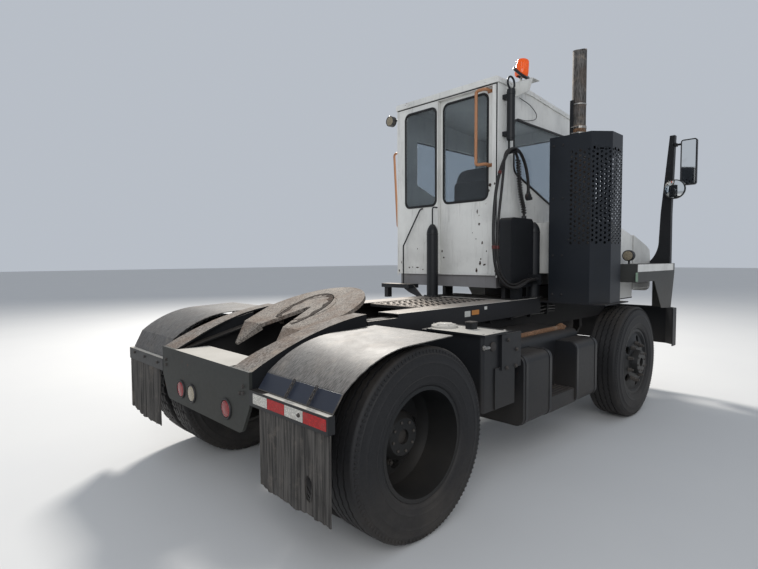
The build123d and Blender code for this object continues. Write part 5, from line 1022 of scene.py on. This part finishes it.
# Roof lamp and fender lamp: lenses and rims
ROOF_LAMP, FENDER_LAMP = at(2.02, 1.05, 2.95), at(3.19, -1.024, 1.477)
s.lathe(ROOF_LAMP, -X, [(0.048, -0.002), (0.048, 0.003), (0.036, 0.0075), (0.018, 0.0095), (0.0004, 0.01)], 36)
s.lathe(FENDER_LAMP, -X, [(0.045, -0.002), (0.045, 0.003), (0.034, 0.007), (0.016, 0.009), (0.0004, 0.0095)], 36)
s.make("lamp_lenses", "clear", angle=28)
for p, r in ((ROOF_LAMP, 0.055), (FENDER_LAMP, 0.052)):
    s.lathe(p, -X, [(r, -0.01), (r + 0.0015, 0.002), (r - 0.001, 0.006), (r - 0.0065, 0.005), (r - 0.007, 0.001)], 36)
s.make("lamp_rims", "plastic")

# Exhaust: rusty band, clamps and the strap beside the stack
STACK = 2.7, -0.74
s.collar(at(*STACK, 2.63), Z, 0.0625, 0.0655, 0.045, 40)
s.make("stack_band", "rust")
for z in (2.602, 2.658):
    s.collar(at(*STACK, z), Z, 0.0655, 0.068, 0.012, 40)
    s.tube([at(2.62, -0.765, z), at(2.62, -0.705, z)], 0.006, 8)
    s.bolt(at(2.62, -0.768, z), -Y, 0.016)
s.collar(at(*STACK, 2.87), Z, 0.0625, 0.065, 0.006, 40)
s.make("stack_clamp", "steel")
s.slab(rounded(0.034, 0.35, 0.006, 2), at(2.64, -0.7, 2.735), -Y, Z, 0.006)
for z in (2.6, 2.88):
    s.tube([at(2.637, -0.7, z), at(2.665, -0.73, z)], 0.007, 8)
s.make("stack_strap", "black")

# Tank: cap with its bolts, breather, sight disc with its bright fitting, and the lid's dust
cap = at(0.74, -0.72, 1.0065)
s.lathe(cap, Z, [(0.089, -0.014), (0.089, 0.0), (0.08, 0.003), (0.078, 0.006), (0.06, 0.008), (0.056, 0.013),
                 (0.02, 0.015), (0.0004, 0.015)], 44)
for k in range(6):
    a = TAU * k / 6
    s.bolt(cap + Vector((cos(a), sin(a), 0)) * 0.07 + Z * 0.004, Z, 0.015)
for x, y in ((0.625, -0.7), (0.625, -1.11), (0.86, -1.11), (0.86, -0.7), (0.74, -1.11)):
    s.bolt(at(x, y, 0.9922), Z, 0.016)
s.make("tank_lid_parts", "dusty")
s.level(rounded(0.066, 0.066, 0.008, 4, 0.795, -0.9), 1.032, 0.01, 0.003)
for x, z in ((0.871, 0.755), (0.978, 0.754), (0.887, 0.933), (0.99, 0.86)):
    s.bolt(at(x, -1.1205, z), -Y, 0.022)
s.lathe(at(0.74, -1.1003, 0.905), -Y, [(0.03, 0), (0.03, 0.006), (0.024, 0.012), (0.01, 0.014), (0.0004, 0.014)])
s.make("tank_bolts", "iron")
s.tube([at(0.628, -1.108, 0.91), at(0.69, -1.108, 0.906)], 0.01, 6)
s.lathe(at(0.64, -1.1, 0.91), -Y, [(0.016, 0), (0.016, 0.008), (0.01, 0.01), (0.0004, 0.01)], 6)
s.make("tank_fitting", "steel")
s.level(rect(0.6115, -1.128, 0.8705, -0.672), 0.9921, 0.001, 0.0004)
s.make("tank_lid_dust", "dusty")

# Side tank: straps round the boxes, tread on the step
outline = rounded(0.468, 0.486, 0.063, 8, -0.9, 0.56)
inner = inset(outline, 0.004)
for x, w in ((1.44, 0.034), (1.11, 0.03), (1.88, 0.03), (2.215, 0.03)):
    s.skin([[at(x + dx, y, z) for y, z in o] for dx, o in (
        (-w / 2, inner), (-w / 2, outline), (w / 2, outline), (w / 2, inner))])
s.make("side_tank_straps", "plastic")
for i in range(18):
    for j in range(5):
        cx, cy = 1.49 + 0.021 * i, -1.105 + 0.034 * j
        s.level(rounded(0.014, 0.005, 0.002, 2, cx + (0.01 if j % 2 else 0), cy), 0.4448, 0.003, 0.0008)
s.make("step_tread", "tread")

# Right fender: a dark blue-grey strip under the rolled edge, painted shade on the sheet's lower curve; two chain
# ties; blank labels on the deck's edge
foot = at(-0.62, 0, 0.799)
lean = (at(-0.56, 0, 0.879) - foot).normalized()
s.slab(rect(0.602, 0.004, 1.198, 0.094), foot, -Y, lean, 0.0025, 0.0008)
s.make("fender_strip", "strip")
for y in (-0.86, -1.035):
    for k in range(4):
        c = at(-0.6235, y, 0.806) + lean * (0.014 + 0.022 * k) + Vector((-0.006, 0, 0.004))
        across, r = (Y, 0.008) if k % 2 else (lean.cross(Y), 0.006)
        s.tube([c + lean * sin(a) * 0.015 + across * cos(a) * r for a in (TAU * i / 20 for i in range(20))],
               0.003, 6, loop=True)
s.make("fender_ties", "iron")
s.upright(rounded(0.075, 0.045, 0.004, 3, 1.307, 1.02), RIGHT_RAIL_Y, *LABEL)
s.upright(rounded(0.04, 0.026, 0.004, 3, 1.558, 1.05), RIGHT_RAIL_Y, *LABEL)
s.make("blank_labels", "label")
s.upright(rounded(0.1, 0.038, 0.004, 3, 1.413, 1.025), RIGHT_RAIL_Y, *LABEL)
s.make("blank_orange_labels", "orange_label")

# Painted sunlight on the plate between the ramps: a pale patch in the dust colour, its front edge where the shade
# begins
s.level([(-0.65, -0.355), (-0.432, -0.325), (-0.432, 0.335), (-0.65, 0.355)], 0.8822, 0.0012, 0.0004)
s.make("dust_and_painted_sunlight", "dusty")

# Rusty pipe, air lines and cable along the right rail
s.tube([at(1.416, -0.88, 0.868), at(2.112, -0.88, 0.872)], 0.021, 16)
s.make("rusty_pipe", "rust")
s.lathe(at(2.095, -0.88, 0.872), X, [(0.02, -0.03), (0.028, -0.028), (0.028, 0.0), (0.034, 0.002), (0.034, 0.02),
                                     (0.02, 0.022)], 20)
s.tube([at(2.115, -0.88, 0.872), at(2.18, -0.88, 0.874)], 0.012, 12)
s.make("pipe_union", "rust")
for y, z, r in ((-0.4455, 0.99, 0.009), (-0.448, 0.96, 0.012), (-0.4455, 0.93, 0.008)):
    s.tube([at(0.55 + 2.3 * k / 39, y - 0.004 * sin(k * 1.3), z + 0.004 * sin(k * 0.9 + z * 40))
            for k in range(40)], r, 8)
for k in range(7):
    s.upright(rounded(0.03, 0.11, 0.006, 2, 0.7 + 0.33 * k, 0.962), -0.432, 0.034, 0.002)
s.make("rail_lines", "hose")

# Fifth wheel: groove filled up, ledge and grease, lock jaw and bushes
PIN = at(0.18, 0, 1.035)
FACE, LOCK = 0.096, -0.025  # of the plate above the pin, and of the lock's middle ahead of it
TIP = radians(18)
PX, PZ = Vector((cos(TIP), 0, sin(TIP))), Vector((-sin(TIP), 0, cos(TIP)))


def on_plate(x, y, z):
    """A point on the tipped plate, z above its face."""
    return PIN + PX * x + Y * y + PZ * (FACE + z)


def arc_on_plate(r, degrees, z, side=1):
    """Points round the middle of the lock."""
    return [on_plate(LOCK + r * cos(a), side * r * sin(a), z) for a in map(radians, degrees)]


s.skin([arc_on_plate(r, range(-148, 149, 4), deep) for r, deep in (
    (0.2045, -0.0038), (0.207, -0.0026), (0.215, -0.0026), (0.2175, -0.0038))], closed=False)
s.make("groove_filling", "plate", "fifth_wheel_body")

line = [(-0.278, -0.163), (-0.194, -0.187), (-0.069, -0.175), (0.059, -0.139), (0.15, -0.085), (0.216, -0.01),
        (0.243, 0.06), (0.238, 0.13), (0.205, 0.178), (0.15, 0.205), (0.042, 0.211), (-0.098, 0.179),
        (-0.212, 0.124)]
for _ in range(3):
    cut = [tuple(a[i] * (1 - f) + b[i] * f for i in (0, 1)) for a, b in zip(line, line[1:]) for f in (0.25, 0.75)]
    line = line[:1] + cut + line[-1:]
ledge = []
for k, p in enumerate(line):
    a, b = line[max(0, k - 1)], line[min(len(line) - 1, k + 1)]
    d = Vector((b[0] - a[0], b[1] - a[1])).normalized()
    ledge.append((p, (-d.y, d.x)))


def along_ledge(name, look, section, wave=0.0):
    """A strip along the ledge's line; the section is (sideways, up), and wave makes its width come and go."""
    s = Shape()
    s.skin([[on_plate(*(p[i] + n[i] * w * (1 + wave * sin(k * 0.7)) for i in (0, 1)), h)
             for k, (p, n) in enumerate(ledge)] for w, h in section], closed=False)
    s.make(name, look, "fifth_wheel_body")


along_ledge("ledge_line", "crack", ((-0.004, 0.0001), (-0.0032, 0.0007), (0.0032, 0.0007), (0.004, 0.0001)))
along_ledge("grease_film", "grease", ((0.003, 0.0001), (0.003, 0.0004), (0.04, 0.0004), (0.041, 0.0001)), wave=0.25)
for side in (1, -1):
    inner = arc_on_plate(0.0262, range(0, 115, 8), -0.03, side)
    outer = arc_on_plate(0.052, range(0, 115, 8), -0.006, side)
    s.skin([inner, [p + PZ * 0.024 for p in inner], outer, [p - PZ * 0.024 for p in outer]], closed=False)
for side in (1, -1):
    s.lathe(PIN + Y * (side * 0.321), Y * side, [(0.044, 0.0), (0.044, 0.012), (0.036, 0.016), (0.026, 0.017),
                                                 (0.026, 0.026), (0.0004, 0.027)], 28)
s.make("lock_jaw", "iron", "fifth_wheel_body")

# Posts: base plates with bolts, and collars on the posts and the mast
for x, y, r in ((1.928, 0.375, 0.056), (2.455, -0.427, 0.06)):
    plate = [(r + 0.03, 0), (r + 0.03, 0.007), (r + 0.004, 0.009), (r + 0.001, 0.014)]
    s.lathe(at(x, y, DECK_TOP + 0.0002), Z, plate, 32)
    for k in range(4):
        a = TAU * (k + 0.5) / 4
        s.bolt(at(x + (r + 0.018) * cos(a), y + (r + 0.018) * sin(a), 1.089), Z, 0.016)
    s.collar(at(x, y, 1.7), Z, r + 0.0002, r + 0.003, 0.004, 32)
for z in (2.545, 2.93):
    s.collar(at(2.1, -0.39, z), Z, 0.0362, 0.039, 0.016, 28)
s.make("post_collars", "black")


# Curly wrap on the supply line, and tape round both hoses
def highest(line):
    return max(range(len(line)), key=lambda i: line[i].z)


def coil(line, radius, pitch):
    """The path of a wire wound about a line."""
    path, turned, normal = [], 0.0, None
    for a, b in zip(line, line[1:]):
        t = (b - a).normalized()
        normal = t.orthogonal().normalized() if normal is None else (normal - t * normal.dot(t)).normalized()
        steps = max(2, int((b - a).length / (pitch / 10)))
        for k in range(steps):
            c = a.lerp(b, k / steps)
            path.append(c + (normal * cos(turned) + t.cross(normal) * sin(turned)) * radius)
            turned += TAU * (b - a).length / steps / pitch
    return path


s.tube(coil([p for p in supply_line[highest(supply_line) + 1:] if 1.87 <= p.z <= 2.36], 0.0185, 0.024), 0.007, 6)
s.make("curly_wrap", "hose", angle=60)
for line, z in ((air_line, 1.55), (supply_line, 1.55), (air_line, 2.2)):
    i = min(range(1, highest(line) + 1), key=lambda i: abs(line[i].z - z))
    s.collar(line[i], (line[i + 1] - line[i - 1]).normalized(), 0.015, 0.0168, 0.014, 20)
s.make("hose_tapes", "red_hose")

# Floor and lights
floor_paint = Paint("pale_floor", 0.85)
floor_paint.colour(floor_paint.mix(floor_paint.noise(0.8, 3), (0.6, 0.6, 0.6), (0.64, 0.64, 0.63)))
bpy.ops.mesh.primitive_plane_add(size=160)
floor = bpy.context.object
floor.name = "floor"
floor.data.materials.append(floor_paint.m)

world = bpy.data.worlds.new("studio")
bpy.context.scene.world = world
world.use_nodes = True
background = world.node_tree.nodes["Background"]
background.inputs["Color"].default_value = (0.8, 0.86, 0.95, 1)
background.inputs["Strength"].default_value = 0.6


def area(name, place, target, size, power, colour):
    light = bpy.data.objects.new(name, bpy.data.lights.new(name, "AREA"))
    light.data.shape = "DISK"
    light.data.size = size
    light.data.energy = power
    light.data.color = colour
    light.location = place
    light.rotation_euler = (Vector(target) - Vector(place)).to_track_quat("-Z", "Y").to_euler()
    bpy.context.collection.objects.link(light)


area("key", (4.5, 7.5, 9.0), (0, 0, 0.8), 2.5, 1900, (1.0, 0.96, 0.9))
area("fill", (-7.0, -6.0, 5.0), (0, 0, 1.0), 6.0, 300, (1, 1, 1))
bpy.context.scene.view_settings.view_transform = "Standard"
